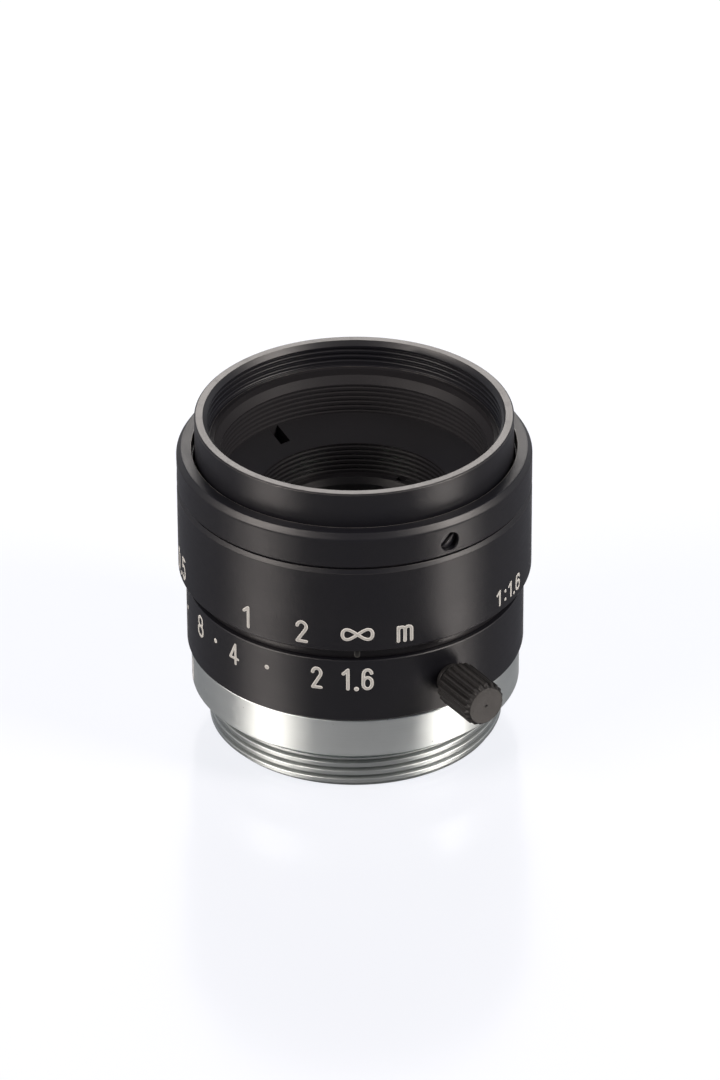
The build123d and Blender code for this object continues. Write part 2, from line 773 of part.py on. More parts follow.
rear_spacer_top = rear_crown_z - rear_crown_rise + sag(rear_crown_curve, rear_spacer_bore_r) - run_gap
rear_apex_z = rear_crown_z - rear_crown_rise - rear_air
rear_element_top = rear_apex_z - rear_front_rise
rear_element_z = rear_element_top - rear_element_edge
rear_ring_top = rear_element_z - rear_back_rise + sag(rear_back_curve, rear_ring_bore_r) - run_gap
rear_z = rear_ring_top - rear_ring_thickness
rear_step_z = rear_apex_z - sag(rear_front_curve, rear_doublet_bore_r) + run_gap
rear_spacer_z = rear_apex_z - sag(rear_front_curve, rear_spacer_bore_r) + run_gap
fork_half_angle = (fork_width / 2 + 0.3) / fork_r * 180 / pi
with BuildPart() as rear_cell:
    turned(
        (rear_bore_r, rear_z),
        (rear_tube_r - edge_break, rear_z),
        (rear_tube_r, rear_z + edge_break),
        (rear_tube_r, rear_flange_z),
        (barrel_r, rear_flange_z),
        (barrel_r, rear_flange_top),
        (rear_hub_r, rear_flange_top),
        (rear_hub_r, cam_z - run_gap),
        (rear_lip_r, cam_z - run_gap),
        (rear_lip_r, rear_doublet_top),
        (rear_doublet_bore_r, rear_doublet_top),
        (rear_doublet_bore_r, rear_step_z),
        (rear_bore_r, rear_step_z),
    )
    sector_cut(
        rear_hub_r,
        barrel_r + 0.5,
        rear_flange_z - 0.5,
        rear_flange_top + 0.5,
        iris_pin_angle - fork_half_angle,
        iris_pin_angle + iris_turn + fork_half_angle,
    )
    for i in range(3):
        with Locations(Plane.XY.offset(rear_flange_z).rotated((0, 0, first_screw + i * cell_screw_step))):
            with Locations((screw_circle_r, 0)):
                Cylinder(cell_screw_head_r + seat_gap, 2 * cell_screw_head, mode=Mode.SUBTRACT)
                Cylinder(cell_screw_r + seat_gap, 4 * rear_flange, mode=Mode.SUBTRACT)

with BuildPart() as rear_cell_screws:
    for i in range(3):
        with Locations(Plane.XY.offset(rear_flange_z).rotated((0, 0, first_screw + i * cell_screw_step))):
            with Locations((screw_circle_r, 0)):
                Cylinder(
                    cell_screw_head_r,
                    cell_screw_head,
                    align=(Align.CENTER, Align.CENTER, Align.MIN),
                )
                Cylinder(cell_screw_r, cell_screw_length, align=(Align.CENTER, Align.CENTER, Align.MIN))
                Box(
                    3 * cell_screw_head_r,
                    0.25,
                    0.3,
                    mode=Mode.SUBTRACT,
                )

with BuildPart() as rear_flint:
    lens_element(
        rear_doublet_r,
        rear_flint_z,
        rear_doublet_top,
        0,
        -rear_flint_rise,
        flat_r=rear_flint_flat_r,
    )

with BuildPart() as rear_crown:
    lens_element(rear_doublet_r, rear_crown_z, rear_crown_top, -rear_crown_rise, 0)

with BuildPart() as rear_spacer:
    turned(
        (rear_spacer_bore_r, rear_spacer_z),
        (rear_doublet_r, rear_spacer_z),
        (rear_doublet_r, rear_spacer_top),
        (rear_spacer_bore_r, rear_spacer_top),
    )

with BuildPart() as rear_element:
    lens_element(rear_element_r, rear_element_z, rear_element_top, -rear_back_rise, rear_front_rise)

with BuildPart() as rear_retaining_ring:
    turned(
        (rear_ring_bore_r, rear_z),
        (rear_bore_r - seat_gap, rear_z),
        (rear_bore_r - seat_gap, rear_ring_top),
        (rear_ring_bore_r, rear_ring_top),
    )
    with BuildSketch(Plane.XY.offset(rear_z)):
        with PolarLocations(rear_bore_r, 2, start_angle=rear_notch_angle):
            Rectangle(rear_bore_r - rear_ring_bore_r, notch_width)
    extrude(amount=notch_depth, mode=Mode.SUBTRACT)

os.makedirs("parts", exist_ok=True)
pieces = {
    "mount_ring": mount_ring,
    "fixed_barrel": fixed_barrel,
    "guide_key": guide_key,
    "iris_ring": iris_ring,
    "iris_drive_pin": iris_drive_pin,
    "iris_lock_pad": iris_lock_pad,
    "iris_lock_screw": iris_lock_screw,
    "focus_ring": focus_ring,
    "focus_stop_pin": focus_stop_pin,
    "front_bezel": front_bezel,
    "bezel_set_screws": bezel_set_screws,
    "front_ring": front_ring,
    "lens_barrel": lens_barrel,
    "front_cell": front_cell,
    "front_retaining_ring": front_retaining_ring,
    "front_element": front_element,
    "front_spacer": front_spacer,
    "front_crown": front_crown,
    "front_flint": front_flint,
    "blade_plate": blade_plate,
    "iris_blade_1": iris_blade_1,
    "iris_blade_2": iris_blade_2,
    "iris_blade_3": iris_blade_3,
    "iris_blade_4": iris_blade_4,
    "iris_blade_5": iris_blade_5,
    "iris_blade_6": iris_blade_6,
    "iris_cam_ring": iris_cam_ring,
    "rear_cell": rear_cell,
    "rear_cell_screws": rear_cell_screws,
    "rear_flint": rear_flint,
    "rear_crown": rear_crown,
    "rear_spacer": rear_spacer,
    "rear_element": rear_element,
    "rear_retaining_ring": rear_retaining_ring,
}
for name, piece in pieces.items():
    piece.part.label = name
    export_step(piece.part, f"parts/{name}.step")
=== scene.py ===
"""Looks of a fixed-focal lens with a C-mount: anodised rings, chromed thread, painted scales, coated glass.

Metres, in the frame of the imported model: the flange plane is at height zero and the optical axis points up.
Surfaces are worked out in millimetres and turned into metres in make_piece.
"""

from functools import cache
from math import cos, pi, radians, sin, sqrt

import bmesh
import bpy
import numpy as np
from bpy.props import FloatProperty, FloatVectorProperty, IntProperty, PointerProperty
from bpy.types import Operator, Panel, PropertyGroup
from mathutils import Matrix, Vector


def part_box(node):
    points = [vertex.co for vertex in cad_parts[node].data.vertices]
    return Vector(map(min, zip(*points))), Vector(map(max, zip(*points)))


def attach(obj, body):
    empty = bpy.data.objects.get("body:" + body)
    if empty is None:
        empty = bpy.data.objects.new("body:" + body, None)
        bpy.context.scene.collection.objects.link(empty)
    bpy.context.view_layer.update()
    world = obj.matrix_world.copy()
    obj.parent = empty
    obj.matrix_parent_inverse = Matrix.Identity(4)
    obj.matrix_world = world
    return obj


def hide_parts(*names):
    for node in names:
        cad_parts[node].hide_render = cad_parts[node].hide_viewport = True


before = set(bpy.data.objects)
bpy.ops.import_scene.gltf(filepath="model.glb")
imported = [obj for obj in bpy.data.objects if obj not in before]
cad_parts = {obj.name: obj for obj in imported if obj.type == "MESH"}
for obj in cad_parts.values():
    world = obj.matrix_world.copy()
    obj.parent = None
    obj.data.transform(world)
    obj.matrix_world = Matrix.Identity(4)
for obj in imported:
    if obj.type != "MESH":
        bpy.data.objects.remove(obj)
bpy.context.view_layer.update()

bl_info = {
    "name": "Machine vision lens",
    "version": (1, 0, 0),
    "blender": (4, 5, 0),
    "location": "3D View > Sidebar > Lens",
    "description": "Builds the rings, scales, thread, glass and finishes of a small C-mount lens",
    "category": "Object",
}

MM = 0.001

CAMERA_THREAD_R = 12.7
CAMERA_THREAD_DEPTH = 0.4
FILTER_THREAD_R = 12.55
FILTER_THREAD_DEPTH = 0.24
BEZEL_LIP_R = 13.9
INDEX_BAND_R = 14.1
SET_SCREW_ANGLES = (-58.3, 61.7, 181.7)
SET_SCREW_RISE = 3.45 * 0.42  # above the lower edge of the bezel
LOCK_SCREW_ANGLE = -56.8
LOCK_SCREW_HEIGHT = 6.75


def node_sizes(node):
    """Lowest and highest point of a CAD node along the optical axis and its largest radius, in millimetres."""
    low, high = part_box(node)
    return low.z / MM, high.z / MM, max(-low.x, -low.y, high.x, high.y) / MM


# Surfaces: whole arrays of points on two-parameter grids, in millimetres


def make_piece(name, points, faces, material, body, edge=None, around=None):
    """One mesh object from points in millimetres and index faces, riding on a body, in metres at the origin.

    edge is one number per point, 1 on a broken edge or under a painted highlight, 0 on flat ground and less where
    it is dirty or where shade is painted in a thread's root, kept as the attribute "edge".
    around is one pair per point, the way round and the way along in millimetres, kept as the UV map.
    """
    mesh = bpy.data.meshes.new(name)
    points = np.asarray(points, float).reshape(-1, 3)
    faces = np.asarray(faces)
    mesh.from_pydata((points * MM).tolist(), [], faces.tolist())
    if edge is not None:
        shares = mesh.attributes.new("edge", "FLOAT", "POINT").data
        shares.foreach_set("value", np.ravel(edge).astype(np.float32))
    if around is not None:
        corners = np.zeros(len(mesh.loops), np.int32)
        mesh.loops.foreach_get("vertex_index", corners)
        pairs = np.asarray(around, np.float32).reshape(-1, 2)[corners]
        mesh.uv_layers.new(name="Surface").data.foreach_set("uv", pairs.ravel())
    mesh.polygons.foreach_set("use_smooth", np.ones(len(mesh.polygons), bool))
    mesh.validate()
    mesh.update()
    piece = bpy.data.objects.new(name, mesh)
    bpy.context.scene.collection.objects.link(piece)
    mesh.materials.append(material)
    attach(piece, body)
    return piece


def grid_faces(rows, columns, close_rows, close_columns, first=0):
    """Quads of a grid of rows by columns: each joins a point, its neighbour along the row and the two above."""
    j = np.arange(rows if close_rows else rows - 1)[:, None]
    i = np.arange(columns if close_columns else columns - 1)[None, :]
    j_next, i_next = (j + 1) % rows, (i + 1) % columns
    quads = np.stack(
        [j * columns + i, j * columns + i_next, j_next * columns + i_next, j_next * columns + i], -1
    )
    return quads.reshape(-1, 4) + first


ARC_STEPS = 4
RING_SEGMENTS = 288


def rounded_outline(corners, radius):
    """A closed outline of (radius, height) points whose corners are arcs, with the share of edge at each point.

    At a corner with half angle h, both sides are cut back by radius / tan(h), and the arc's centre lies on the
    bisector at radius / sin(h). A point close to each end of the arc keeps the flat ground next to it flat.
    A third number in a corner is its own radius.
    """
    place = np.array([c[:2] for c in corners], float)
    wanted = np.array([c[2] if len(c) > 2 else radius for c in corners], float)
    x, y = place.T
    if np.sum(x * np.roll(y, -1) - y * np.roll(x, -1)) < 0:
        place, wanted = place[::-1], wanted[::-1]
    back = np.roll(place, 1, 0) - place
    ahead = np.roll(place, -1, 0) - place
    back_length = np.linalg.norm(back, axis=1)
    ahead_length = np.linalg.norm(ahead, axis=1)
    back /= back_length[:, None]
    ahead /= ahead_length[:, None]
    half = np.arccos(np.clip(np.sum(back * ahead, 1), -1, 1)) / 2
    cut = np.minimum(wanted / np.tan(half), 0.4 * np.minimum(back_length, ahead_length))
    arc = cut * np.tan(half)
    middle = back + ahead
    middle /= np.linalg.norm(middle, axis=1)[:, None] + 1e-12
    centre = place + middle * (arc / np.sin(half))[:, None]
    start = place + back * cut[:, None] - centre
    end = place + ahead * cut[:, None] - centre
    a = np.arctan2(start[:, 1], start[:, 0])
    turn = (np.arctan2(end[:, 1], end[:, 0]) - a + pi) % (2 * pi) - pi
    t = np.linspace(0, 1, ARC_STEPS + 1)
    angle = a[:, None] + turn[:, None] * t
    on_arc = centre[:, None] + arc[:, None, None] * np.stack([np.cos(angle), np.sin(angle)], -1)
    ease = np.minimum(0.5 * cut + 0.01, 0.15 * np.minimum(back_length, ahead_length))[:, None]
    before = (place + back * (cut[:, None] + ease))[:, None]
    after = (place + ahead * (cut[:, None] + ease))[:, None]
    outline = np.concatenate([before, on_arc, after], 1).reshape(-1, 2)
    outward = (turn > 0)[:, None] * np.concatenate([[0.0], np.sin(pi * (t * 0.6 + 0.2)), [0.0]])
    return outline, outward.ravel()


def surface_map(outline, a, radius):
    """The way round at this radius and the way along the outline, in millimetres, for each point of a ring."""
    along = np.cumsum(np.hypot(*np.diff(outline, axis=0, prepend=outline[:1]).T))[:, None]
    return np.stack([a * radius + 0 * along, along + 0 * a], -1)


def turned_piece(name, corners, material, body, radius):
    """A ring turned about the optical axis: each point (r, z) of the outline goes to (r cos a, r sin a, z)."""
    outline, edge = rounded_outline(corners, radius)
    r, z = outline[:, :1], outline[:, 1:]
    a = np.linspace(0, 2 * pi, RING_SEGMENTS, endpoint=False)[None, :]
    points = np.stack([r * np.cos(a), r * np.sin(a), z + 0 * a], -1)
    faces = grid_faces(*points.shape[:2], True, True)
    around = surface_map(outline, a, r.max())
    return make_piece(name, points, faces, material, body, edge[:, None] + 0 * a, around)


def azimuth(degrees):
    """Angle about the axis of a mark seen this many degrees to the right of the front."""
    return radians(degrees) - pi / 2


# Shader nodes and finishes


class Graph:
    """A shader node tree with short calls that make a node, feed its inputs and return what it gives."""

    def __init__(self, tree):
        self.tree = tree

    def node(self, kind):
        """A new node of this kind."""
        return self.tree.nodes.new("ShaderNode" + kind)

    def feed(self, socket, value):
        """Links a socket to another, or sets it to a plain number or colour."""
        if isinstance(value, bpy.types.NodeSocket):
            self.tree.links.new(value, socket)
        else:
            socket.default_value = value

    def fed(self, kind, *values, **settings):
        """A new node with these settings whose first inputs are fed in order; returns its first output."""
        node = self.node(kind)
        for label, value in settings.items():
            setattr(node, label, value)
        for socket, value in zip(node.inputs, values):
            self.feed(socket, value)
        return node.outputs[0]

    def math(self, operation, *values, clamp=False):
        return self.fed("Math", *values, operation=operation, use_clamp=clamp)

    def times(self, first, second):
        return self.math("MULTIPLY", first, second)

    def plus(self, first, second):
        return self.math("ADD", first, second)

    def weighted(self, first, share, second):
        """first * share + second * (1 - share)"""
        return self.plus(self.times(first, share), self.times(second, 1 - share))

    def span(self, value, low, high, to_low=0.0, to_high=1.0):
        """Carries the range from low to high over to another one, clamped."""
        return self.fed("MapRange", value, low, high, to_low, to_high)

    def mix(self, factor, first, second):
        """Blends two colours."""
        node = self.node("Mix")
        node.data_type = "RGBA"
        for socket, value in ((node.inputs[0], factor), (node.inputs[6], first), (node.inputs[7], second)):
            self.feed(socket, value)
        return node.outputs[2]

    def noise(self, place, scale, detail=2.0, roughness=0.5):
        """The factor of a Noise Texture over the given coordinates."""
        node = self.node("TexNoise")
        for label, value in (("Vector", place), ("Scale", scale), ("Detail", detail), ("Roughness", roughness)):
            self.feed(node.inputs[label], value)
        return node.outputs["Fac"]

    def split(self, vector):
        """The three numbers of a vector."""
        node = self.node("SeparateXYZ")
        self.feed(node.inputs[0], vector)
        return node.outputs[:]

    def edge(self):
        """The piece's own attribute "edge"."""
        node = self.node("Attribute")
        node.attribute_name = "edge"
        return node.outputs["Fac"]


def new_group(name, values, outputs):
    """A node group that takes a place and named numbers with their defaults, and gives named numbers."""
    tree = bpy.data.node_groups.new(name, "ShaderNodeTree")
    tree.interface.new_socket("Place", in_out="INPUT", socket_type="NodeSocketVector")
    for label, value in values.items():
        tree.interface.new_socket(label, in_out="INPUT", socket_type="NodeSocketFloat").default_value = value
    for label in outputs:
        tree.interface.new_socket(label, in_out="OUTPUT", socket_type="NodeSocketFloat")
    return Graph(tree), tree.nodes.new("NodeGroupInput").outputs, tree.nodes.new("NodeGroupOutput").inputs


def make_grain_group():
    """Blasted grain: a fine and a coarse noise over object coordinates, as a height and a tone from 0 to 1."""
    graph, start, end = new_group("Blasted grain", {"Scale": 9000.0}, ["Height", "Tone", "Cloud"])
    place, scale = start["Place"], start["Scale"]
    fine = graph.noise(place, scale, 3.0, 0.6)
    coarse = graph.noise(place, graph.times(scale, 0.21))
    cloud = graph.noise(place, graph.times(scale, 0.028), 3.0)
    graph.feed(end["Height"], graph.weighted(fine, 0.7, coarse))
    graph.feed(end["Tone"], graph.span(fine, 0.3, 0.7))
    graph.feed(end["Cloud"], graph.span(cloud, 0.3, 0.7))
    return graph.tree


def make_lathe_group():
    """Lathe marks: noise that changes with the distance from the axis and with height, and hardly round it."""
    graph, start, end = new_group("Lathe marks", {"Spacing": 0.0001}, ["Height", "Tone"])
    x, y, z = graph.split(start["Place"])
    r = graph.math("SQRT", graph.plus(graph.times(x, x), graph.times(y, y)))
    out, up = (graph.math("DIVIDE", length, start["Spacing"]) for length in (r, z))
    place = graph.fed("CombineXYZ", out, up, graph.times(graph.math("ARCTAN2", y, x), 2.0))
    fine = graph.noise(place, 1.0, 2.0, 0.7)
    broad = graph.noise(place, 0.17)
    height = graph.weighted(fine, 0.65, broad)
    graph.feed(end["Height"], height)
    graph.feed(end["Tone"], graph.span(height, 0.35, 0.65))
    return graph.tree


def make_wear_group():
    """Wear and painted highlights on edges: "edge" broken up by noise, from 0 on flat ground to 1 on a rubbed
    edge or a painted highlight.
    """
    graph, start, end = new_group("Edge wear and painted highlight", {"Reach": 0.5}, ["Mask"])
    patchy = graph.noise(start["Place"], 900.0, 4.0, 0.6)
    rubbed = graph.plus(graph.edge(), graph.math("SUBTRACT", patchy, 1.1))
    graph.feed(end["Mask"], graph.math("MULTIPLY", graph.span(rubbed, 0.0, 0.35), start["Reach"], clamp=True))
    return graph.tree


def make_speck_group():
    """Specks: small dark pits and dust, where the distance to the nearest of scattered points is small."""
    graph, start, end = new_group("Specks", {"Scale": 1500.0, "Share": 0.2}, ["Mask"])
    cells = graph.node("TexVoronoi")
    graph.feed(cells.inputs["Vector"], start["Place"])
    graph.feed(cells.inputs["Scale"], start["Scale"])
    near = graph.span(cells.outputs["Distance"], 0.05, 0.22, 1.0, 0.0)
    drawn = graph.fed("SeparateColor", cells.outputs["Color"])
    graph.feed(end["Mask"], graph.times(near, graph.math("LESS_THAN", drawn, start["Share"])))
    return graph.tree


@cache
def shared_group(kind):
    """The node group of this kind, made the first time that it is asked for."""
    makers = {
        "grain": make_grain_group, "lathe": make_lathe_group, "wear": make_wear_group, "specks": make_speck_group,
    }
    return makers[kind]()


class Finish(Graph):
    """A material with a Principled shader; plain values are set on the shader's own sockets."""

    def __init__(self, name, plain=None):
        self.material = bpy.data.materials.new(name)
        self.material.use_nodes = True
        super().__init__(self.material.node_tree)
        self.shader = self.tree.nodes["Principled BSDF"].inputs
        for label, value in (plain or {}).items():
            self.shader[label].default_value = value
        self.place = self.node("TexCoord").outputs["Object"]

    def group(self, kind, **values):
        """A shared node group over object coordinates, with its own values; returns what it gives."""
        node = self.node("Group")
        node.node_tree = shared_group(kind)
        self.feed(node.inputs["Place"], self.place)
        for label, value in values.items():
            self.feed(node.inputs[label.capitalize()], value)
        return node.outputs

    def finished(self, base, gloss, height=None, strength=0.3, distance=0.00003):
        """Feeds the shader its colour, its roughness and a bump from the height; returns the material."""
        self.feed(self.shader["Base Color"], base)
        self.feed(self.shader["Roughness"], gloss)
        if height is not None:
            bump = self.node("Bump")
            for label, value in (("Strength", strength), ("Distance", distance), ("Height", height)):
                self.feed(bump.inputs[label], value)
            self.feed(self.shader["Normal"], bump.outputs["Normal"])
        return self.material


def shade(colour, factor=1.0):
    """A colour times a factor, no lighter than white, with its alpha."""
    return [min(1.0, channel * factor) for channel in list(colour)[:3]] + [1.0]


def anodised_finish(name, tone, edge_tone, rough, grain=9000.0, lathe=0.0, bump=0.25, wear=0.5, specular=0.5):
    """Dyed anodised metal: grain and clouds shift the tone and gloss, faint lathe marks, rubbed edges lighter,
    and where "edge" marks one, a painted highlight in the same lighter colour.
    """
    look = Finish(name, {"Specular IOR Level": specular})
    blasted = look.group("grain", scale=grain)
    marks = look.group("lathe", spacing=0.00006)
    rubbed = look.group("wear", reach=wear)["Mask"]
    base = look.mix(blasted["Tone"], shade(tone), shade(tone, 1.45))
    base = look.mix(look.times(blasted["Cloud"], 0.35), base, shade(tone, 0.8))
    # Rubbed edges, and painted highlights where "edge" marks them, take the lighter edge colour.
    base = look.mix(rubbed, base, shade(edge_tone))
    gloss = look.span(look.weighted(blasted["Cloud"], 0.5, marks["Tone"]), 0.0, 1.0, *rough)
    gloss = look.math("SUBTRACT", gloss, look.times(rubbed, 0.12))
    height = look.weighted(marks["Height"], lathe, blasted["Height"])
    return look.finished(base, gloss, height, bump, 0.00004)


def metal_finish(name, tone, rough, lathe=0.5, bump=0.15, pits=0.15):
    """Bare or plated metal: lathe marks in gloss and height, a cloudy tone, small dark pits and brighter edges.

    Where "edge" is below 0 the metal is darker: dirt, and towards a thread's root also painted shade.
    """
    look = Finish(name, {"Metallic": 1.0})
    blasted = look.group("grain", scale=6000.0)
    marks = look.group("lathe", spacing=0.00008)
    rubbed = look.group("wear", reach=0.6)["Mask"]
    dots = look.group("specks", scale=2600.0, share=pits)["Mask"]
    base = look.mix(blasted["Cloud"], shade(tone), shade(tone, 0.9))
    base = look.mix(look.times(marks["Tone"], 0.3), base, shade(tone, 1.05))
    base = look.mix(rubbed, base, shade(tone, 1.25))
    base = look.mix(look.times(dots, 0.7), base, shade(tone, 0.25))
    # Darker where "edge" is below 0: dirt, and painted shade towards a thread's root.
    base = look.mix(look.span(look.edge(), 0.0, -1.0), base, shade(tone, 0.3))
    gloss = look.span(look.weighted(marks["Tone"], 0.7, blasted["Tone"]), 0.0, 1.0, *rough)
    gloss = look.plus(gloss, look.times(dots, 0.3))
    height = look.math("SUBTRACT", look.weighted(marks["Height"], lathe, blasted["Height"]), dots)
    return look.finished(base, gloss, height, bump)


def glass_finish(name, coating):
    """Coated glass: clear, with a tinted reflection, and a trace of dust in its gloss."""
    look = Finish(name, {"Transmission Weight": 1.0, "IOR": 1.55, "Specular Tint": shade(coating)})
    dust = look.group("specks", scale=1300.0, share=0.06)["Mask"]
    film = look.group("grain", scale=2500.0)["Cloud"]
    gloss = look.plus(look.span(film, 0.0, 1.0, 0.0, 0.012), look.times(dust, 0.06))
    return look.finished((0.985, 0.99, 0.985, 1.0), gloss)


def soft_finish(name, tone, rough):
    """Moulded nylon: fine grain in tone, gloss and height."""
    look = Finish(name)
    blasted = look.group("grain", scale=7000.0)
    base = look.mix(blasted["Tone"], shade(tone), shade(tone, 0.86))
    base = look.mix(look.times(blasted["Cloud"], 0.5), base, shade(tone, 0.9))
    return look.finished(base, look.span(blasted["Cloud"], 0.0, 1.0, *rough), blasted["Height"])


def paint_finish(name, tone, core):
    """Paint wiped into an engraved line: its core differs from its rim, where "edge" is 1, and it is grainy."""
    look = Finish(name)
    blasted = look.group("grain", scale=8000.0)
    middle = look.mix(blasted["Tone"], shade(core), shade(core, 0.8))
    base = look.mix(look.edge(), middle, shade(tone))
    return look.finished(base, look.span(blasted["Cloud"], 0.0, 1.0, 0.5, 0.65), blasted["Height"])


@cache
def finish(name):
    """The material of this name, made the first time that it is asked for, from the colours in the panel."""
    looks = bpy.context.scene.lens_colours
    black, inner, paint = looks.anodise, looks.inner, looks.paint
    glossy = (looks.gloss, looks.gloss + 0.1)
    dark_worn, pale_wear_and_highlight, inner_worn = (0.055, 0.052, 0.050), (0.2, 0.19, 0.18), (0.06, 0.06, 0.062)
    anodised = {
        "black anodise": (black, dark_worn, glossy, {"wear": 0.35, "specular": 0.44}),
        # The bezel's pale edge colour is a painted highlight on its lip by the front ring, and wear on the rims
        # of its holes.
        "bezel anodise": (black, pale_wear_and_highlight, glossy, {"wear": 0.9, "specular": 0.44}),
        "rim anodise": (black, (0.055, 0.051, 0.049), glossy, {"lathe": 0.5, "wear": 0.9}),
        "inner black": (
            inner, inner_worn, (0.28, 0.36), {"lathe": 0.8, "bump": 0.3, "wear": 0.35, "specular": 0.36},
        ),
        "barrel black": (
            shade(inner, 1.2), inner_worn, (0.55, 0.64), {"lathe": 0.8, "bump": 0.3, "specular": 0.22},
        ),
        "cell black": (inner, (0.08, 0.08, 0.08), (0.30, 0.42), {"lathe": 0.9, "bump": 0.3, "specular": 0.4}),
        "knurled black": (
            (0.010, 0.0095, 0.0095), (0.028, 0.026, 0.0245), (0.46, 0.56),
            {"grain": 7000.0, "bump": 0.4, "wear": 0.8, "specular": 0.3},
        ),
        "screw black": (shade(black, 1.2), pale_wear_and_highlight, (0.3, 0.4), {"grain": 12000.0}),
        "blade black": ((0.012, 0.012, 0.013), (0.05, 0.05, 0.05), (0.3, 0.45), {"bump": 0.15}),
    }
    if name in anodised:
        *values, options = anodised[name]
        return anodised_finish(name, *values, **options)
    others = {
        "satin chrome": (metal_finish, looks.chrome, (0.40, 0.45), 0.55, 0.02, 0.02),
        "brass": (metal_finish, (0.62, 0.45, 0.2), (0.25, 0.4)),
        "nylon": (soft_finish, (0.62, 0.6, 0.54), (0.4, 0.55)),
        "scale paint": (paint_finish, paint, shade(paint, 0.55)),
        # The focus index lies in the shadowed gap under the focus ring: its darkened paint and darker core are
        # painted shade.
        "faint paint": (paint_finish, shade(paint, 0.2), shade(paint, 0.03)),
        "outlined paint": (paint_finish, shade(paint, 0.08), shade(paint, 1.3)),
        "front coating": (glass_finish, looks.front_coating),
        "inner coating": (glass_finish, looks.inner_coating),
    }
    maker, *values = others[name]
    return maker(name, *values)


# Rings with a thread or bored holes, and screws

THREAD_SEGMENTS = 360
THREAD_ROWS = 18  # rows of points in one pitch
THREADED_EDGE = 0.04  # radius of the broken edges of threaded rings
SCREW_EDGE = 0.06
FLUTE_ROWS = np.linspace(15.5, 19.8, 12)  # rows of points along the flutes, from the optical axis


def add_rows(outline, edge, r, heights):
    """Adds rows at these heights to the straight side of an outline that stands at radius r."""
    here = np.abs(outline[:, 0] - r) < 1e-6
    ahead = np.roll(outline, -1, 0)
    side = here & (np.abs(ahead[:, 0] - r) < 1e-6)
    rise = np.abs(ahead[:, 1] - outline[:, 1]) * side
    k = int(np.argmax(rise))
    low, high = outline[k, 1], ahead[k, 1]
    extra = np.unique(np.round(np.asarray(heights, float), 6))
    extra = extra[(extra > min(low, high) + 1e-4) & (extra < max(low, high) - 1e-4)]
    if high < low:
        extra = extra[::-1]
    rows = np.stack([np.full(len(extra), r), extra], 1)
    return np.insert(outline, k + 1, rows, 0), np.insert(edge, k + 1, np.zeros(len(extra)))


def thread_cut(angle, height, pitch, depth):
    """Depth of a right-handed V thread: full at the root line, none on the wide crest.

    The root line climbs one pitch for each turn, and d is the distance from it in pitches, from 0 to a half.
    """
    d = np.abs((height / pitch - angle / (2 * pi)) % 1.0 - 0.5)
    return depth * np.clip(1.0 - (d - 0.03) / 0.24, 0.0, 1.0)


def threaded_piece(
    name, corners, material, body, crest, span, pitch, depth, outside, rubbed=None, grime_and_root_shade=0.0
):
    """A turned ring with a V thread on the side at radius crest, between two heights.

    The surface is the nearer to the metal of the plain outline and the thread, so chamfers are cut through too.
    Above the height rubbed, the face is bare of dye. Over the thread "edge" falls below 0: dirt darkens all of
    it, and painted shade darkens it further towards its root.
    """
    outline, edge = rounded_outline(corners, THREADED_EDGE)
    side = outline[np.abs(outline[:, 0] - crest) < 1e-6, 1]
    outline, edge = add_rows(outline, edge, crest, np.arange(side.min(), side.max(), pitch / THREAD_ROWS))
    a = np.linspace(0, 2 * pi, THREAD_SEGMENTS, endpoint=False)[None, :]
    r, z = outline[:, :1] + 0 * a, outline[:, 1:] + 0 * a
    cut = thread_cut(a, z, pitch, depth)
    near = (z >= span[0] - 1e-6) & (z <= span[1] + 1e-6) & (np.abs(r - crest) < depth + 0.15)
    thread = np.minimum(r, crest - cut) if outside else np.maximum(r, crest + cut)
    r = np.where(near, thread, r)
    points = np.stack([r * np.cos(a), r * np.sin(a), z], -1)
    around = surface_map(outline, a, crest)
    # Dirt darkens the whole thread; the extra darkening towards the root is painted shade.
    on_thread = np.where(cut < 0.02, 0.2, 0.0) - grime_and_root_shade * (0.62 + 0.2 * (cut / depth) ** 3)
    edge_tone = np.where(near, on_thread, edge[:, None] + 0 * a)
    if rubbed is not None:
        edge_tone = np.where(z > rubbed, 1.0, edge_tone)
    return make_piece(name, points, grid_faces(*r.shape, True, True), material, body, edge_tone, around)


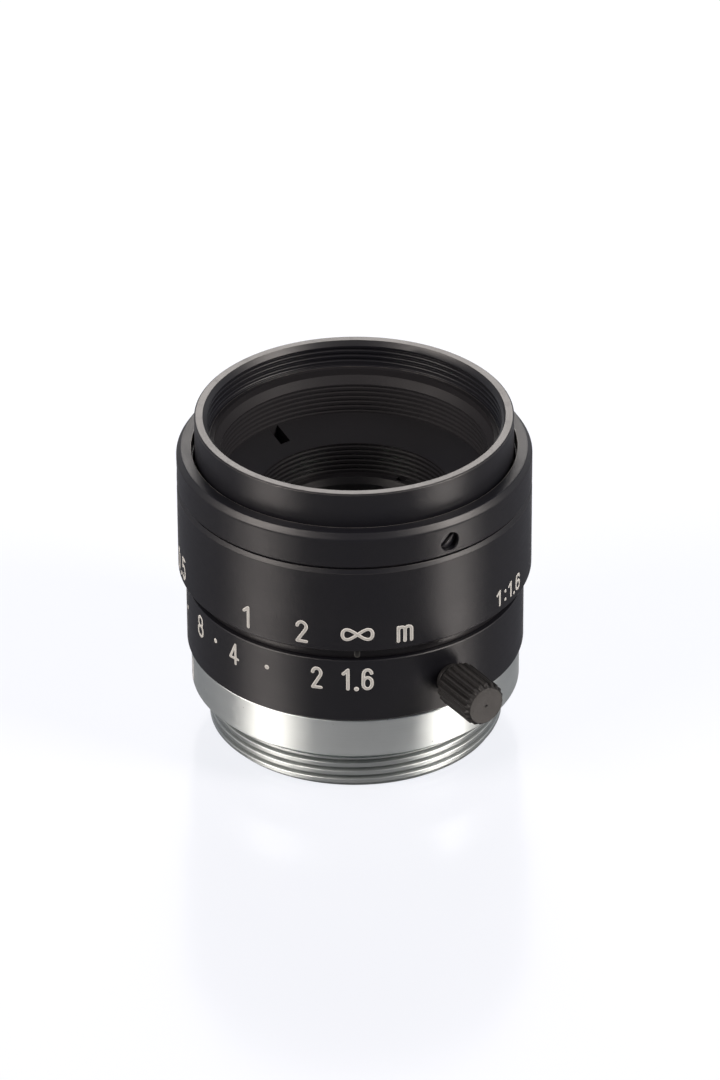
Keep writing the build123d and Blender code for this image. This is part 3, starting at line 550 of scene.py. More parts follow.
def bored_piece(name, corners, material, body, side, holes, height, bore, depth, radius, painted_highlight_r):
    """A turned ring with blind round holes square to its side, and a painted highlight along its top corner at
    the given radius.

    Round each hole, squares of grid lines become circles: a point at the larger c of its two distances from the
    hole's centre moves to distance c from it, less and less further out. Inside the bore it sinks to the depth.
    """
    outline, edge = rounded_outline(corners, radius)
    steps = np.array([0.0, bore * 0.5, bore - 0.06, bore - 0.04, bore - 0.02, bore, bore + 0.03, bore + 0.1])
    reach = bore * 1.7
    steps = np.concatenate([steps, np.linspace(bore + 0.1, reach, 5)[1:]])
    places = np.array([0.0, bore * 0.5, *[bore - 0.03] * 3, bore - 0.015, bore + 0.02, bore + 0.1])
    sinks = np.array([depth, depth, depth, depth - 0.02, 0.05, 0.015, 0.0, 0.0])
    outline, edge = add_rows(outline, edge, side, np.concatenate([height - steps, height + steps]))
    base = np.linspace(0, 2 * pi, RING_SEGMENTS, endpoint=False)
    centres = np.radians(holes) % (2 * pi)
    gap = np.abs((base[:, None] - centres + pi) % (2 * pi) - pi).min(1)
    base = base[gap > (reach + 0.05) / side]
    windows = (centres[:, None] + np.concatenate([-steps, steps]) / side).ravel()
    a = np.unique(np.round(np.concatenate([base, windows]) % (2 * pi), 9))[None, :]
    r, z, a = outline[:, :1] + 0 * a, outline[:, 1:] + 0 * a, a + 0 * outline[:, :1]
    edge_tone = edge[:, None] + 0 * a
    on_side = np.abs(r - side) < 1e-6
    for centre in centres:
        x, y = side * ((a - centre + pi) % (2 * pi) - pi), z - height
        c = np.maximum(np.abs(x), np.abs(y))
        far = np.hypot(x, y) + 1e-12
        inside = on_side & (c <= reach + 1e-6)
        circle = np.interp(c, steps[:8], places) * (c <= bore + 0.1) + c * (c > bore + 0.1)
        t = np.clip((c - bore - 0.1) / (reach - bore - 0.1), 0, 1)
        scale = (1 - t) * circle / far + t
        a = np.where(inside, centre + x * scale / side, a)
        z = np.where(inside, height + y * scale, z)
        r = np.where(inside, side - np.interp(c, steps[:8], sinks), r)
        edge_tone = np.where(inside & (np.abs(c - bore) < 0.035), 0.8, edge_tone)
    # A painted highlight along the top corner at the given radius; the other broken edges are toned down.
    edge_tone = np.where((np.abs(r - painted_highlight_r) < 0.07) & (z > z.max() - 0.07), 1.0, edge_tone * 0.3)
    points = np.stack([r * np.cos(a), r * np.sin(a), z], -1)
    around = np.stack([a * side, z], -1)
    return make_piece(name, points, grid_faces(*r.shape, True, True), material, body, edge_tone, around)


# Engraved and filled marks: strokes with round ends, laid on a cylinder about the optical axis


def arc_path(x, y, rx, ry, start, end, count=18):
    """Points (x + rx cos a, y + ry sin a) from one angle in degrees to another."""
    a = np.radians(np.linspace(start, end, count))
    return np.stack([x + rx * np.cos(a), y + ry * np.sin(a)], 1)


def oval_path(x, y, rx, ry, power, count=44):
    """A closed oval |dx / rx| ** power + |dy / ry| ** power = 1."""
    a = np.linspace(0, 2 * pi, count, endpoint=False)
    c, s = np.cos(a), np.sin(a)
    return np.stack(
        [x + rx * np.sign(c) * np.abs(c) ** (2 / power), y + ry * np.sign(s) * np.abs(s) ** (2 / power)], 1
    )


CLOSED_FIGURES = ("0", "8", "infinity")


def figure_strokes(figure):
    """The strokes of one figure, as paths in a box one wide and one high."""
    lines = {
        "0": [oval_path(0.5, 0.5, 0.5, 0.5, 2.6)],
        "1": [[(0.1, 0.79), (0.62, 1.0)], [(0.62, 1.0), (0.62, 0.0)]],
        "2": [np.vstack([arc_path(0.5, 0.76, 0.48, 0.24, 172, -32), [(0.06, 0.03)]]), [(0.03, 0.0), (0.98, 0.0)]],
        "4": [[(0.72, 1.0), (0.0, 0.27)], [(0.0, 0.27), (1.05, 0.27)], [(0.72, 1.0), (0.72, 0.0)]],
        "5": [
            [(0.12, 1.0), (0.9, 1.0)],
            [(0.12, 1.0), (0.08, 0.56)],
            np.vstack([[(0.08, 0.56)], arc_path(0.46, 0.32, 0.5, 0.32, 115, -145)]),
        ],
        "6": [
            np.vstack([arc_path(0.5, 0.76, 0.47, 0.24, 12, 180), arc_path(0.5, 0.26, 0.5, 0.26, 180, 360)]),
            arc_path(0.5, 0.33, 0.5, 0.26, 0, 180),
        ],
        "8": [oval_path(0.5, 0.76, 0.42, 0.24, 2.2), oval_path(0.5, 0.26, 0.5, 0.26, 2.2)],
        "m": [
            [(0.0, 0.0), (0.0, 1.0)],
            np.vstack([[(0.0, 0.72)], arc_path(0.25, 0.8, 0.25, 0.2, 175, 0), [(0.5, 0.0)]]),
            np.vstack([[(0.5, 0.72)], arc_path(0.75, 0.8, 0.25, 0.2, 175, 0), [(1.0, 0.0)]]),
        ],
        "infinity": [loop_path()],
        ".": [[(0.5, 0.0), (0.5, 0.003)]],
        ":": [[(0.5, 0.12), (0.5, 0.123)], [(0.5, 0.72), (0.5, 0.723)]],
        "dot": [[(0.5, 0.5), (0.5, 0.503)]],
        "line": [[(0.5, 0.0), (0.5, 1.0)]],
    }
    return lines[figure]


def loop_path(count=72):
    """A lying double loop: x goes round once, (1 + cos a) / 2, while y goes round twice, (1 + sin 2a) / 2."""
    a = np.linspace(0, 2 * pi, count, endpoint=False)
    return np.stack([0.5 + 0.5 * np.cos(a), 0.5 + 0.5 * np.sin(2 * a)], 1)


def stroke_tube(path, closed, width, lift):
    """A flat tube along a stroke: across it goes width / 2 cos b, and up lift sin b, for b round the tube.

    An open stroke goes on by half its width at both ends, where both shrink by sqrt(1 - (q / (width / 2))^2) at
    distance q past the end. Returns points (x, y, height above the cylinder), faces and the closeness to a rim.
    """
    path = np.asarray(path, float)
    if closed:
        path = np.vstack([path, path[:1]])
    length = np.concatenate([[0], np.cumsum(np.hypot(*np.diff(path, axis=0).T))])
    total = length[-1]
    if closed:
        q = np.linspace(0, total, max(24, int(total / 0.07)), endpoint=False)
        shrink = np.ones_like(q)
    else:
        cap = width / 2 * np.sin(np.linspace(0, pi / 2, 7))
        inner = np.linspace(0, total, max(2, int(total / 0.09) + 2))
        q = np.concatenate([-cap[:0:-1], inner, total + cap[1:]])
        past = np.maximum(np.maximum(-q, q - total), 0) / (width / 2)
        shrink = np.sqrt(np.clip(1 - past**2, 0, 1))
    centre = np.stack([np.interp(q, length, path[:, 0]), np.interp(q, length, path[:, 1])], 1)
    if closed:
        along = np.roll(centre, -1, 0) - np.roll(centre, 1, 0)
    else:
        first = (path[1] - path[0]) / (length[1] + 1e-12)
        last = (path[-1] - path[-2]) / (length[-1] - length[-2] + 1e-12)
        centre = centre + np.minimum(q, 0)[:, None] * first + np.maximum(q - total, 0)[:, None] * last
        along = np.gradient(centre, axis=0)
    along /= np.linalg.norm(along, axis=1)[:, None] + 1e-12
    across = np.stack([along[:, 1], -along[:, 0]], 1)
    b = np.linspace(0, 2 * pi, 16, endpoint=False)
    wide = (width / 2 * shrink)[:, None] * np.cos(b)
    flat = centre[:, None] + across[:, None] * wide[..., None]
    high = lift * np.sqrt(shrink)[:, None] * np.sin(b)
    points = np.concatenate([flat, high[..., None]], -1)
    rim = np.maximum(np.abs(np.cos(b)) ** 3 + 0 * wide, 1 - shrink[:, None] ** 2)
    return points.reshape(-1, 3), grid_faces(len(q), 16, closed, True), rim.ravel()


MARK_LIFT = 0.012
DOT_SHARE = 1.45  # width of a dot in strokes


def marks_piece(name, marks, cylinder, body, width, paint="scale paint"):
    """Marks on a cylinder about the optical axis.

    Each is (figure, azimuth, middle height, wide, high) and, where its strokes differ, their share of the width.
    A point (x, y, h) of a stroke lies at angle x / cylinder from the middle of its mark, at radius cylinder + h.
    """
    points, faces, rims, count = [], [], [], 0
    for figure, degrees, middle, wide, high, *share in marks:
        bold = width * (share[0] if share else 1.0) * (DOT_SHARE if figure in (".", ":", "dot") else 1.0)
        for path in figure_strokes(figure):
            local = (np.asarray(path, float) - 0.5) * (wide, high)
            stroke, quads, rim = stroke_tube(local, figure in CLOSED_FIGURES, bold, MARK_LIFT)
            a = azimuth(degrees) + stroke[:, 0] / cylinder
            r = cylinder + stroke[:, 2]
            points.append(np.stack([r * np.cos(a), r * np.sin(a), middle + stroke[:, 1]], 1))
            faces.append(quads + count)
            rims.append(rim)
            count += len(stroke)
    return joined_piece(name, points, faces, rims, finish(paint), body)


def joined_piece(name, points, faces, edges, material, body):
    """One piece from lists of points, faces and shares of edge, welded."""
    piece = make_piece(
        name, np.vstack(points), np.vstack(faces), material, body, np.concatenate(edges)
    )
    weld(piece)
    return piece


WELD_DISTANCE = 2e-7


def weld(piece):
    """Merges points that lie on each other, which closes the poles, and drops faces without area."""
    shell = bmesh.new()
    shell.from_mesh(piece.data)
    bmesh.ops.remove_doubles(shell, verts=shell.verts, dist=WELD_DISTANCE)
    bmesh.ops.dissolve_degenerate(shell, dist=WELD_DISTANCE / 4, edges=shell.edges)
    bmesh.ops.recalc_face_normals(shell, faces=shell.faces)
    shell.to_mesh(piece.data)
    shell.free()
    piece.data.update()


def directions(angle):
    """Outwards, sideways and up at this angle about the optical axis."""
    out = np.array([cos(angle), sin(angle), 0.0])
    return out, np.array([-out[1], out[0], 0.0]), np.array([0.0, 0.0, 1.0])


def fluted_screw(name, corners, material, body, flutes, groove, rim, height, angle):
    """A knurled screw about its own axis: the outline (r, s) is turned, and past the rim radius r loses a groove.

    The groove is groove * |cos(flutes * a / 2)| ** 3 deep, faded in over a fifth of a millimetre outside the rim.
    """
    outline, edge = rounded_outline(corners, SCREW_EDGE)
    outline, edge = add_rows(outline, edge, outline[:, 0].max(), FLUTE_ROWS)
    axis_row = outline[:, 0] < 1e-4
    first = int(np.argmax(np.roll(axis_row, 1) & ~axis_row))
    order = np.roll(np.arange(len(outline)), -first)
    order = np.concatenate([order[-1:], order[: int(np.sum(~axis_row)) + 1]])
    outline, edge = outline[order], edge[order]
    a = np.linspace(0, 2 * pi, flutes * 16, endpoint=False)[None, :]
    r, s = np.maximum(outline[:, :1], 0) + 0 * a, outline[:, 1:] + 0 * a
    fade = np.clip((r - rim) / 0.2, 0, 1)
    depth = groove * np.abs(np.cos(flutes * a / 2)) ** 3 * fade
    out, beside, up = directions(angle)
    r = r - depth
    across = (r * np.cos(a))[..., None] * beside + (r * np.sin(a))[..., None] * up
    points = s[..., None] * out + across + height * up
    edge_tone = np.clip(0.4 * edge[:, None] + 0.45 * (1 - depth / groove) ** 6 * fade * (r > rim), 0, 1)
    edge_tone = np.where((s > s.max() - 0.03) & (r < rim), 1.0, edge_tone)
    around = np.stack([a * 2 + 0 * r, s], -1)
    piece = make_piece(name, points, grid_faces(*r.shape, False, True), material, body, edge_tone, around)
    weld(piece)
    return piece


def slotted_screws(name, material, body, angles, height, bore, low, high, slot_width, slot_depth):
    """Flat slotted screws side by side in one piece, each square to the side of a ring.

    A point (s, q) of the grid lies at s across the slot and q * sqrt(bore^2 - s^2) along it, q = sin b; the face
    sinks to the slot's depth where |s| is under half its width, and falls off round the rim.
    """
    half = slot_width / 2
    wall = np.array([half - 0.02, half - 0.012, half, half + 0.012, half + 0.03])
    rest = np.linspace(half + 0.08, bore * 0.92, 6)
    s = np.concatenate([[0.0], wall, rest, bore * np.sin(np.linspace(1.25, pi / 2, 6))])
    s = np.concatenate([-s[:0:-1], s])[:, None]
    count = 41
    q = np.sin(np.linspace(-pi / 2, pi / 2, count))
    q = np.concatenate([q, q[::-1]])[None, :]
    t = q * np.sqrt(np.clip(bore**2 - s**2, 0, None))
    s = s + 0 * t
    rim = np.clip((np.hypot(s, t) - (bore - 0.07)) / 0.07, 0, 1)
    sunk = slot_depth * np.clip((half - np.abs(s)) / 0.02, 0, 1)
    lip = 0.03 * np.clip(1 - np.abs(np.abs(s) - half) / 0.03, 0, 1)
    top = np.broadcast_to(np.arange(2 * count)[None, :] < count, t.shape)
    out_by = np.where(top, high - np.maximum(sunk, lip) - 0.07 * rim**2, low)
    edge_tone = np.where(top, np.maximum(rim, lip / 0.03), 0.0)
    points, faces, edges = [], [], []
    for angle in np.radians(angles):
        out, beside, up = directions(angle)
        along, across = (beside + up) / sqrt(2), (beside - up) / sqrt(2)
        place = out_by[..., None] * out + s[..., None] * across + t[..., None] * along + height * up
        faces.append(grid_faces(*t.shape, False, True) + len(points) * t.size)
        points.append(place.reshape(-1, 3))
        edges.append(edge_tone.ravel())
    return joined_piece(name, points, faces, edges, material, body)


# Values that a user may change


class LensColours(PropertyGroup):
    anodise: FloatVectorProperty(
        name="Black anodise", description="Colour of the outer rings", subtype="COLOR",
        default=(0.0040, 0.0040, 0.0060), min=0, max=1,
    )
    inner: FloatVectorProperty(
        name="Inner black", description="Colour inside the barrel", subtype="COLOR",
        default=(0.0085, 0.0080, 0.0092), min=0, max=1,
    )
    chrome: FloatVectorProperty(
        name="Satin chrome", description="Colour of the mount ring", subtype="COLOR",
        default=(0.69, 0.735, 0.73), min=0, max=1,
    )
    paint: FloatVectorProperty(
        name="Scale paint", description="Colour of the figures", subtype="COLOR",
        default=(0.92, 0.91, 0.86), min=0, max=1,
    )
    front_coating: FloatVectorProperty(
        name="Outer coating", description="Tint of the outer glass reflections", subtype="COLOR",
        default=(0.25, 0.55, 0.35), min=0, max=1,
    )
    inner_coating: FloatVectorProperty(
        name="Inner coating", description="Tint of the inner glass reflections", subtype="COLOR",
        default=(0.45, 0.3, 0.6), min=0, max=1,
    )
    gloss: FloatProperty(
        name="Anodise roughness", description="Roughness of the outer rings", subtype="FACTOR",
        default=0.36, min=0.05, max=0.9,
    )


class LensSizes(PropertyGroup):
    edge_radius: FloatProperty(
        name="Broken edge", description="Radius of the broken edges of the rings", unit="LENGTH",
        default=0.06 * MM, min=0.01 * MM, max=0.2 * MM,
    )
    stroke: FloatProperty(
        name="Stroke", description="Width of the strokes of the figures", unit="LENGTH",
        default=0.29 * MM, min=0.1 * MM, max=0.6 * MM,
    )
    figure_height: FloatProperty(
        name="Figure height", description="Height of the figures between stroke middles", unit="LENGTH",
        default=1.88 * MM, min=0.5 * MM, max=3.0 * MM,
    )
    camera_pitch: FloatProperty(
        name="Camera thread pitch", description="Rise of one turn of the camera thread", unit="LENGTH",
        default=25.4 / 32 * MM, min=0.2 * MM, max=1.5 * MM,
    )
    filter_pitch: FloatProperty(
        name="Filter thread pitch", description="Rise of one turn of the filter thread", unit="LENGTH",
        default=0.5 * MM, min=0.2 * MM, max=1.0 * MM,
    )
    flutes: IntProperty(
        name="Flutes", description="Flutes round the head of the lock screw", default=20, min=8, max=40,
    )


# Operators, one for each piece or group of like pieces


class LENS_OT_mount_ring(Operator):
    """Mount ring with its camera thread and undercut"""

    bl_idname = "lens.mount_ring"
    bl_label = "Mount ring"

    def execute(self, context):
        low, high, outer = node_sizes("mount_ring")
        corners = [
            (11.2, low), (12.3, low), (CAMERA_THREAD_R, low + 0.4), (CAMERA_THREAD_R, -1.0), (11.9, -1.0),
            (11.9, 0.1), (12.8, 0.1), (12.8, 0.0), (outer - 0.2, 0.0), (outer, 0.2), (outer, high, 0.11),
            (13.32, high), (13.32, 0.8), (11.2, 0.8),
        ]
        pitch = context.scene.lens_sizes.camera_pitch / MM
        piece = threaded_piece(
            "mount_ring_threaded", corners, finish("satin chrome"), "mount",
            crest=CAMERA_THREAD_R, span=(low, -1.0), pitch=pitch, depth=CAMERA_THREAD_DEPTH, outside=True,
            # Dirt on the thread, and painted shade in its root.
            grime_and_root_shade=1.0,
        )
        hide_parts("mount_ring")
        return {"FINISHED"}


class LENS_OT_front_ring(Operator):
    """Front ring with the filter thread inside its rim"""

    bl_idname = "lens.front_ring"
    bl_label = "Front ring"

    def execute(self, context):
        low, high, outer = node_sizes("front_ring")
        corners = [
            (12.32, low), (outer, low), (outer, high - 0.1, 0.05), (outer - 0.12, high, 0.05), (12.9, high, 0.03),
            (FILTER_THREAD_R, high - 0.4, 0.02), (FILTER_THREAD_R, high - 2.3), (12.32, high - 2.3),
        ]
        pitch = context.scene.lens_sizes.filter_pitch / MM
        piece = threaded_piece(
            "front_ring_threaded", corners, finish("rim anodise"), "optics",
            crest=FILTER_THREAD_R, span=(high - 2.1, high), pitch=pitch, depth=FILTER_THREAD_DEPTH, outside=False,
            rubbed=high - 0.02,
        )
        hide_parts("front_ring")
        return {"FINISHED"}


class LENS_OT_iris_ring(Operator):
    """Iris ring with the bore of its lock screw"""

    bl_idname = "lens.iris_ring"
    bl_label = "Iris ring"

    def execute(self, context):
        low, high, outer = node_sizes("iris_ring")
        corners = [
            (13.65, low), (outer - 0.3, low), (outer, low + 0.3), (outer, high - 0.08), (outer - 0.08, high),
            (13.65, high),
        ]
        piece = bored_piece(
            "iris_ring_bored", corners, finish("black anodise"), "iris_control", side=outer,
            holes=[LOCK_SCREW_ANGLE], height=LOCK_SCREW_HEIGHT, bore=0.9, depth=0.8,
            radius=context.scene.lens_sizes.edge_radius / MM, painted_highlight_r=0.0,
        )
        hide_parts("iris_ring")
        return {"FINISHED"}


class LENS_OT_focus_ring(Operator):
    """Focus ring with the neck that carries the bezel"""

    bl_idname = "lens.focus_ring"
    bl_label = "Focus ring"

    def execute(self, context):
        low, high, outer = node_sizes("focus_ring")
        top = low + 8.0
        corners = [
            (14.15, low), (outer - 0.15, low), (outer, low + 0.15), (outer, top - 0.36, 0.1), (outer - 0.2, top),
            (14.3, top), (14.3, high), (13.75, high), (13.75, top), (12.65, top), (12.65, top - 0.75),
            (14.15, top - 0.75),
        ]
        piece = turned_piece(
            "focus_ring_turned", corners, finish("black anodise"), "focus_control",
            radius=context.scene.lens_sizes.edge_radius / MM,
        )
        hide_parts("focus_ring")
        return {"FINISHED"}


class LENS_OT_bezel(Operator):
    """Front bezel with three bores for its set screws"""

    bl_idname = "lens.bezel"
    bl_label = "Front bezel"

    def execute(self, context):
        low, high, outer = node_sizes("front_bezel")
        corners = [
            (14.32, low), (outer - 0.34, low), (outer, low + 0.34), (outer, high - 0.53, 0.35),
            (outer - 0.36, high, 0.14), (BEZEL_LIP_R, high), (BEZEL_LIP_R, high - 1.0), (14.32, high - 1.0),
        ]
        # The lip at BEZEL_LIP_R gets a painted highlight.
        piece = bored_piece(
            "front_bezel_bored", corners, finish("bezel anodise"), "focus_control", side=outer,
            holes=SET_SCREW_ANGLES, height=low + SET_SCREW_RISE, bore=0.9, depth=0.86,
            radius=context.scene.lens_sizes.edge_radius / MM, painted_highlight_r=BEZEL_LIP_R,
        )
        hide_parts("front_bezel")
        return {"FINISHED"}


class LENS_OT_set_screws(Operator):
    """Slotted set screws of the bezel"""

    bl_idname = "lens.set_screws"
    bl_label = "Set screws"

    def execute(self, context):
        low, _, outer = node_sizes("front_bezel")
        piece = slotted_screws(
            "bezel_set_screws_slotted", finish("screw black"), "focus_control",
            angles=SET_SCREW_ANGLES, height=low + SET_SCREW_RISE, bore=0.84, low=outer - 0.84, high=outer - 0.5,
            slot_width=0.3, slot_depth=0.24,
        )
        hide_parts("bezel_set_screws")
        return {"FINISHED"}


class LENS_OT_lock_screw(Operator):
    """Knurled lock screw of the iris ring"""

    bl_idname = "lens.lock_screw"
    bl_label = "Lock screw"

    def execute(self, context):
        start, neck, head, end = 14.0, 14.6, 15.35, 20.1  # distances from the optical axis
        corners = [
            (0, start, 0), (0.78, start), (0.85, start + 0.07), (0.85, neck), (1.35, neck), (1.35, neck + 0.4),
            (1.05, neck + 0.4), (1.05, head), (1.62, head), (1.98, head + 0.4), (1.98, end - 0.42), (1.64, end),
            (0.16, end, 0.02), (0.0, end - 0.08, 0),
        ]
        piece = fluted_screw(
            "iris_lock_screw_knurled", corners, finish("knurled black"), "lock_screw",
            flutes=context.scene.lens_sizes.flutes, groove=0.27, rim=1.7, height=LOCK_SCREW_HEIGHT,
            angle=radians(LOCK_SCREW_ANGLE),
        )
        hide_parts("iris_lock_screw")
        return {"FINISHED"}


class LENS_OT_scales(Operator):
    """Distance scale, aperture scale and the index marks between them"""

    bl_idname = "lens.scales"
    bl_label = "Scales"

    def execute(self, context):
        sizes = context.scene.lens_sizes
        tall, stroke = sizes.figure_height / MM, sizes.stroke / MM
        wide, narrow, ratio_wide, ratio_tall = 0.84, 0.74, 0.7, 1.36
        upper, ratio, lower = 12.8, 12.6, 8.03  # heights of the middles of the figures
        distances = [
            ("0", -81.8, upper, wide, tall), (".", -78.0, upper, wide, tall), ("5", -74.2, upper, wide, tall),
            ("1", -36.9, upper + 0.05, wide, tall), ("2", -17.3, upper + 0.02, wide, tall),
            ("infinity", 0.7, upper + 0.08, 2.55, 0.98), ("m", 16.0, ratio + 0.02, 1.16, 1.36),
            ("1", 53.7, ratio, ratio_wide, ratio_tall, 0.8), (":", 57.2, ratio, ratio_wide, ratio_tall, 0.7),
            ("1", 60.5, ratio, ratio_wide, ratio_tall, 0.8), (".", 63.0, ratio, ratio_wide, ratio_tall, 0.7),
            ("6", 65.9, ratio, ratio_wide, ratio_tall, 0.8),
        ]
        apertures = [
            ("1", -2.9, lower, narrow, tall), (".", 0.3, lower, narrow, tall), ("6", 4.0, lower, narrow, tall),
            ("2", -13.05, lower, narrow, tall), ("dot", -31.1, lower, narrow, tall),
            ("4", -45.3, lower, 0.88, tall, 0.82), ("dot", -55.0, lower + 0.12, narrow, tall),
            ("8", -65.5, lower + 0.17, 0.9, tall, 0.85), ("dot", -81.5, lower - 0.27, narrow, tall),
            ("1", -95.4, lower, narrow, tall), ("6", -90.9, lower, narrow, tall),
        ]
        focus_index, mount_index = [("line", 0.6, 10.55, 0.3, 0.7)], [("line", -82.0, 1.45, 0.3, 1.5)]
        focus_r, iris_r, mount_r = (node_sizes(node)[2] for node in ("focus_ring", "iris_ring", "mount_ring"))
        marks_piece("distance_scale", distances, focus_r, "focus_control", stroke)
        marks_piece("aperture_scale", apertures, iris_r, "iris_control", stroke)
        # The focus index's paint is darkened as painted shade for the gap under the focus ring.
        marks_piece("focus_index", focus_index, INDEX_BAND_R, "mount", 0.5, "faint paint")
        marks_piece("mount_index", mount_index, mount_r, "mount", 0.75, "outlined paint")
        return {"FINISHED"}


NODE_FINISHES = {
    "barrel black": ["lens_barrel"],
    "inner black": [
        "fixed_barrel", "front_spacer", "rear_spacer", "rear_retaining_ring", "rear_cell", "blade_plate",
    ],
    "cell black": ["front_cell", "front_retaining_ring"],
    "screw black": ["iris_drive_pin", "focus_stop_pin", "rear_cell_screws"],
    "blade black": [f"iris_blade_{i}" for i in range(1, 7)],
    "front coating": ["front_element", "rear_element"],
    "inner coating": ["front_crown", "front_flint", "rear_flint", "rear_crown"],
    "nylon": ["iris_lock_pad"],
    "brass": ["guide_key", "iris_cam_ring"],
}


class LENS_OT_finishes(Operator):
    """Finishes of the CAD nodes that stay as they are"""

    bl_idname = "lens.finishes"
    bl_label = "Finishes"

    def execute(self, context):
        for name, nodes in NODE_FINISHES.items():
            for node in nodes:
                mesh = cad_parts[node].data
                mesh.materials.clear()
                mesh.materials.append(finish(name))
        return {"FINISHED"}


class LENS_OT_stage(Operator):
    """Pale floor, soft lamps, surroundings and the camera"""

    bl_idname = "lens.stage"
    bl_label = "Stage"

    def execute(self, context):
        make_floor()
        make_world(context.scene)
        make_lamps()
        make_camera(context.scene)
        return {"FINISHED"}


FLOOR_RADIUS = 3.0
FLOOR_HEIGHT = -0.004
LAMP_AIM = Vector((0, 0, 0.012))
SOFT_BOXES = [
    ("left_softbox", -62, 32, 0.55, 0.26, 0.32, 3.5, (1.0, 0.915, 0.855)),
    ("right_softbox", 67, 32, 0.55, 0.16, 0.32, 3.6, (1.0, 0.925, 0.87)),
    ("back_softbox", 180, 34, 0.6, 0.26, 0.24, 0.95, (1.0, 0.945, 0.90)),
]
CAMERA_DISTANCE = 0.6
CAMERA_ELEVATION = radians(31.86)
CAMERA_ROLL = radians(0.32)
FLANGE_IN_FRAME = Vector((-4.5, -129.5, -6900.0))  # pixels right of, above and behind the middle of the frame


def make_floor():
    """A round floor: points r (cos a, sin a) on circles that grow outwards, below the end of the thread."""
    circles, spokes = 24, 64
    r = (np.linspace(0, 1, circles) ** 2.5)[:, None]
    a = np.linspace(0, 2 * pi, spokes, endpoint=False)[None, :]
    points = FLOOR_RADIUS * np.stack([r * np.cos(a), r * np.sin(a), 0 * r * a], -1).reshape(-1, 3)
    points[:, 2] = FLOOR_HEIGHT
    mesh = bpy.data.meshes.new("floor")
    mesh.from_pydata(points.tolist(), [], grid_faces(circles, spokes, False, True)[:, ::-1].tolist())
    mesh.validate()
    floor = bpy.data.objects.new("floor", mesh)
    bpy.context.scene.collection.objects.link(floor)
    mesh.materials.append(floor_finish())


def floor_finish():
    """A glow over matt ground, seen by the camera and faintly mirrored, with a thin polish; clear from below. The
    glow is weaker in front of the lens as painted shade, and stronger far behind it.
    """
    material = bpy.data.materials.new("pale floor")
    material.use_nodes = True
    graph = Graph(material.node_tree)
    graph.tree.nodes.clear()
    path = graph.node("LightPath").outputs
    camera, mirrored = path["Is Camera Ray"], path["Is Glossy Ray"]
    seen = graph.times(graph.plus(mirrored, path["Is Transmission Ray"]), 0.105)
    shown = graph.math("ADD", camera, seen, clamp=True)
    y = graph.split(graph.node("TexCoord").outputs["Object"])[1]
    # Painted shade on the floor: its glow is weaker in front of the lens and stronger behind it.
    near = graph.span(y, -0.08, 0.12, 0.81, 0.90)
    far = graph.span(y, 0.05, 0.11, 0.0, 0.09)
    strength = graph.plus(graph.times(shown, near), graph.times(camera, far))
    matt = graph.fed("BsdfDiffuse", (0.12, 0.12, 0.13, 1))
    glow = graph.fed("Emission", (0.925, 0.946, 0.992, 1), strength)
    sheen = graph.node("BsdfGlossy")
    sheen.inputs["Roughness"].default_value = 0.16
    polish = graph.plus(graph.times(mirrored, 0.34), graph.times(camera, 0.02))
    polished = graph.fed("MixShader", polish, graph.fed("AddShader", matt, glow), sheen.outputs[0])
    below = graph.node("NewGeometry").outputs["Backfacing"]
    whole = graph.fed("MixShader", below, polished, graph.node("BsdfTransparent").outputs[0])
    graph.feed(graph.node("OutputMaterial").inputs["Surface"], whole)
    return material


def make_world(scene):
    """Surroundings: a pale room behind, dimmer towards the front, and plain white for the camera."""
    world = bpy.data.worlds.new("pale room")
    scene.world = world
    world.use_nodes = True
    graph = Graph(world.node_tree)
    graph.tree.nodes.clear()
    _, y, z = graph.split(graph.node("TexCoord").outputs["Generated"])
    low = graph.span(z, 0.22, 0.5, 1.0, 0.0)
    behind = graph.mix(low, (0.17, 0.20, 0.27, 1), (0.80, 0.80, 0.82, 1))
    room = graph.mix(graph.span(y, 0.0, 0.8), (0.07, 0.08, 0.105, 1), behind)
    room = graph.mix(graph.span(z, 0.45, 0.95), room, (0.12, 0.125, 0.135, 1))
    shown = graph.mix(graph.node("LightPath").outputs["Is Camera Ray"], room, (1.0, 1.0, 1.0, 1))
    graph.feed(graph.node("OutputWorld").inputs["Surface"], graph.fed("Background", shown))


def make_lamps():
    """Soft boxes as area lamps: each is (name, azimuth, elevation, distance, width, height, watts, colour)."""
    for name, around, elevation, distance, width, height, watts, colour in SOFT_BOXES:
        lamp = bpy.data.lights.new(name, "AREA")
        lamp.shape = "RECTANGLE"
        lamp.size, lamp.size_y = width, height
        lamp.energy = watts
        lamp.color = colour
        a, e = azimuth(around), radians(elevation)
        place = Vector((cos(a) * cos(e), sin(a) * cos(e), sin(e))) * distance + LAMP_AIM
        box = bpy.data.objects.new(name, lamp)
        bpy.context.scene.collection.objects.link(box)
        box.location = place
        box.rotation_mode = "QUATERNION"
        box.rotation_quaternion = (place - LAMP_AIM).to_track_quat("Z", "Y")


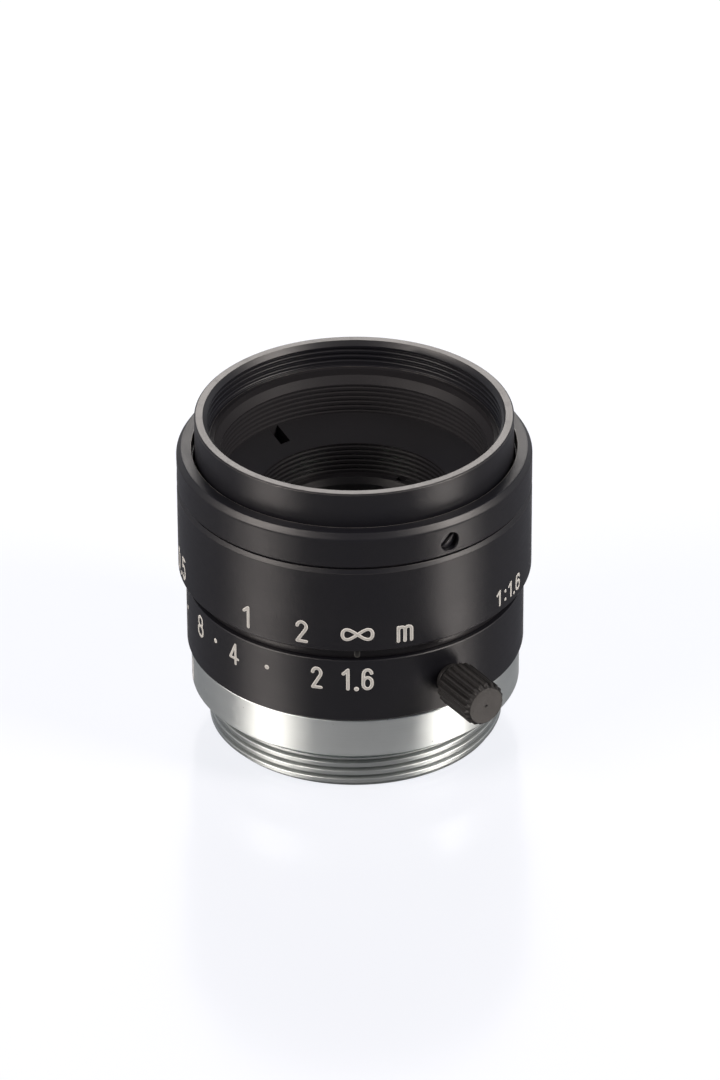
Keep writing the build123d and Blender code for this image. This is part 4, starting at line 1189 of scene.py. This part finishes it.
def make_camera(scene):
    """A long lens 0.6 m away, 32 degrees above the floor; the flange lies low and a little left in the frame."""
    camera = bpy.data.cameras.new("camera")
    camera.lens, camera.sensor_width, camera.sensor_fit = 230.0, 36.0, "AUTO"
    camera.clip_start, camera.clip_end = 0.05, 20.0
    rig = bpy.data.objects.new("camera", camera)
    scene.collection.objects.link(rig)
    scene.camera = rig
    place = Vector((0, -cos(CAMERA_ELEVATION), sin(CAMERA_ELEVATION))) * CAMERA_DISTANCE
    back = place.normalized()
    right = Vector((1, 0, 0))
    look = Matrix((right, back.cross(right), back)).transposed()
    aim = Vector((0, 0, -1)).rotation_difference(FLANGE_IN_FRAME.normalized()).to_matrix()
    turned = look @ Matrix.Rotation(CAMERA_ROLL, 3, "Z").inverted() @ aim.inverted()
    rig.matrix_world = Matrix.Translation(place) @ turned.to_4x4()


class LENS_PT_panel(Panel):
    """Sidebar panel with the colours, the sizes and a button for each operator"""

    bl_label = "Machine vision lens"
    bl_idname = "LENS_PT_panel"
    bl_space_type = "VIEW_3D"
    bl_region_type = "UI"
    bl_category = "Lens"

    def draw(self, context):
        for group in (context.scene.lens_colours, context.scene.lens_sizes):
            box = self.layout.box()
            for label in group.__annotations__:
                box.prop(group, label)
        for operator in OPERATORS:
            self.layout.operator(operator.bl_idname)


OPERATORS = [
    LENS_OT_mount_ring, LENS_OT_front_ring, LENS_OT_iris_ring, LENS_OT_focus_ring, LENS_OT_bezel,
    LENS_OT_set_screws, LENS_OT_lock_screw, LENS_OT_scales, LENS_OT_finishes, LENS_OT_stage,
]
CLASSES = [LensColours, LensSizes, *OPERATORS, LENS_PT_panel]


def register():
    for part in CLASSES:
        bpy.utils.register_class(part)
    bpy.types.Scene.lens_colours = PointerProperty(type=LensColours)
    bpy.types.Scene.lens_sizes = PointerProperty(type=LensSizes)


def unregister():
    del bpy.types.Scene.lens_sizes
    del bpy.types.Scene.lens_colours
    for part in reversed(CLASSES):
        bpy.utils.unregister_class(part)


def main():
    """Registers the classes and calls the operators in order."""
    register()
    bpy.context.scene.view_settings.view_transform = "Standard"
    for operator in OPERATORS:
        family, name = operator.bl_idname.split(".")
        getattr(getattr(bpy.ops, family), name)()


if __name__ == "__main__":
    main()
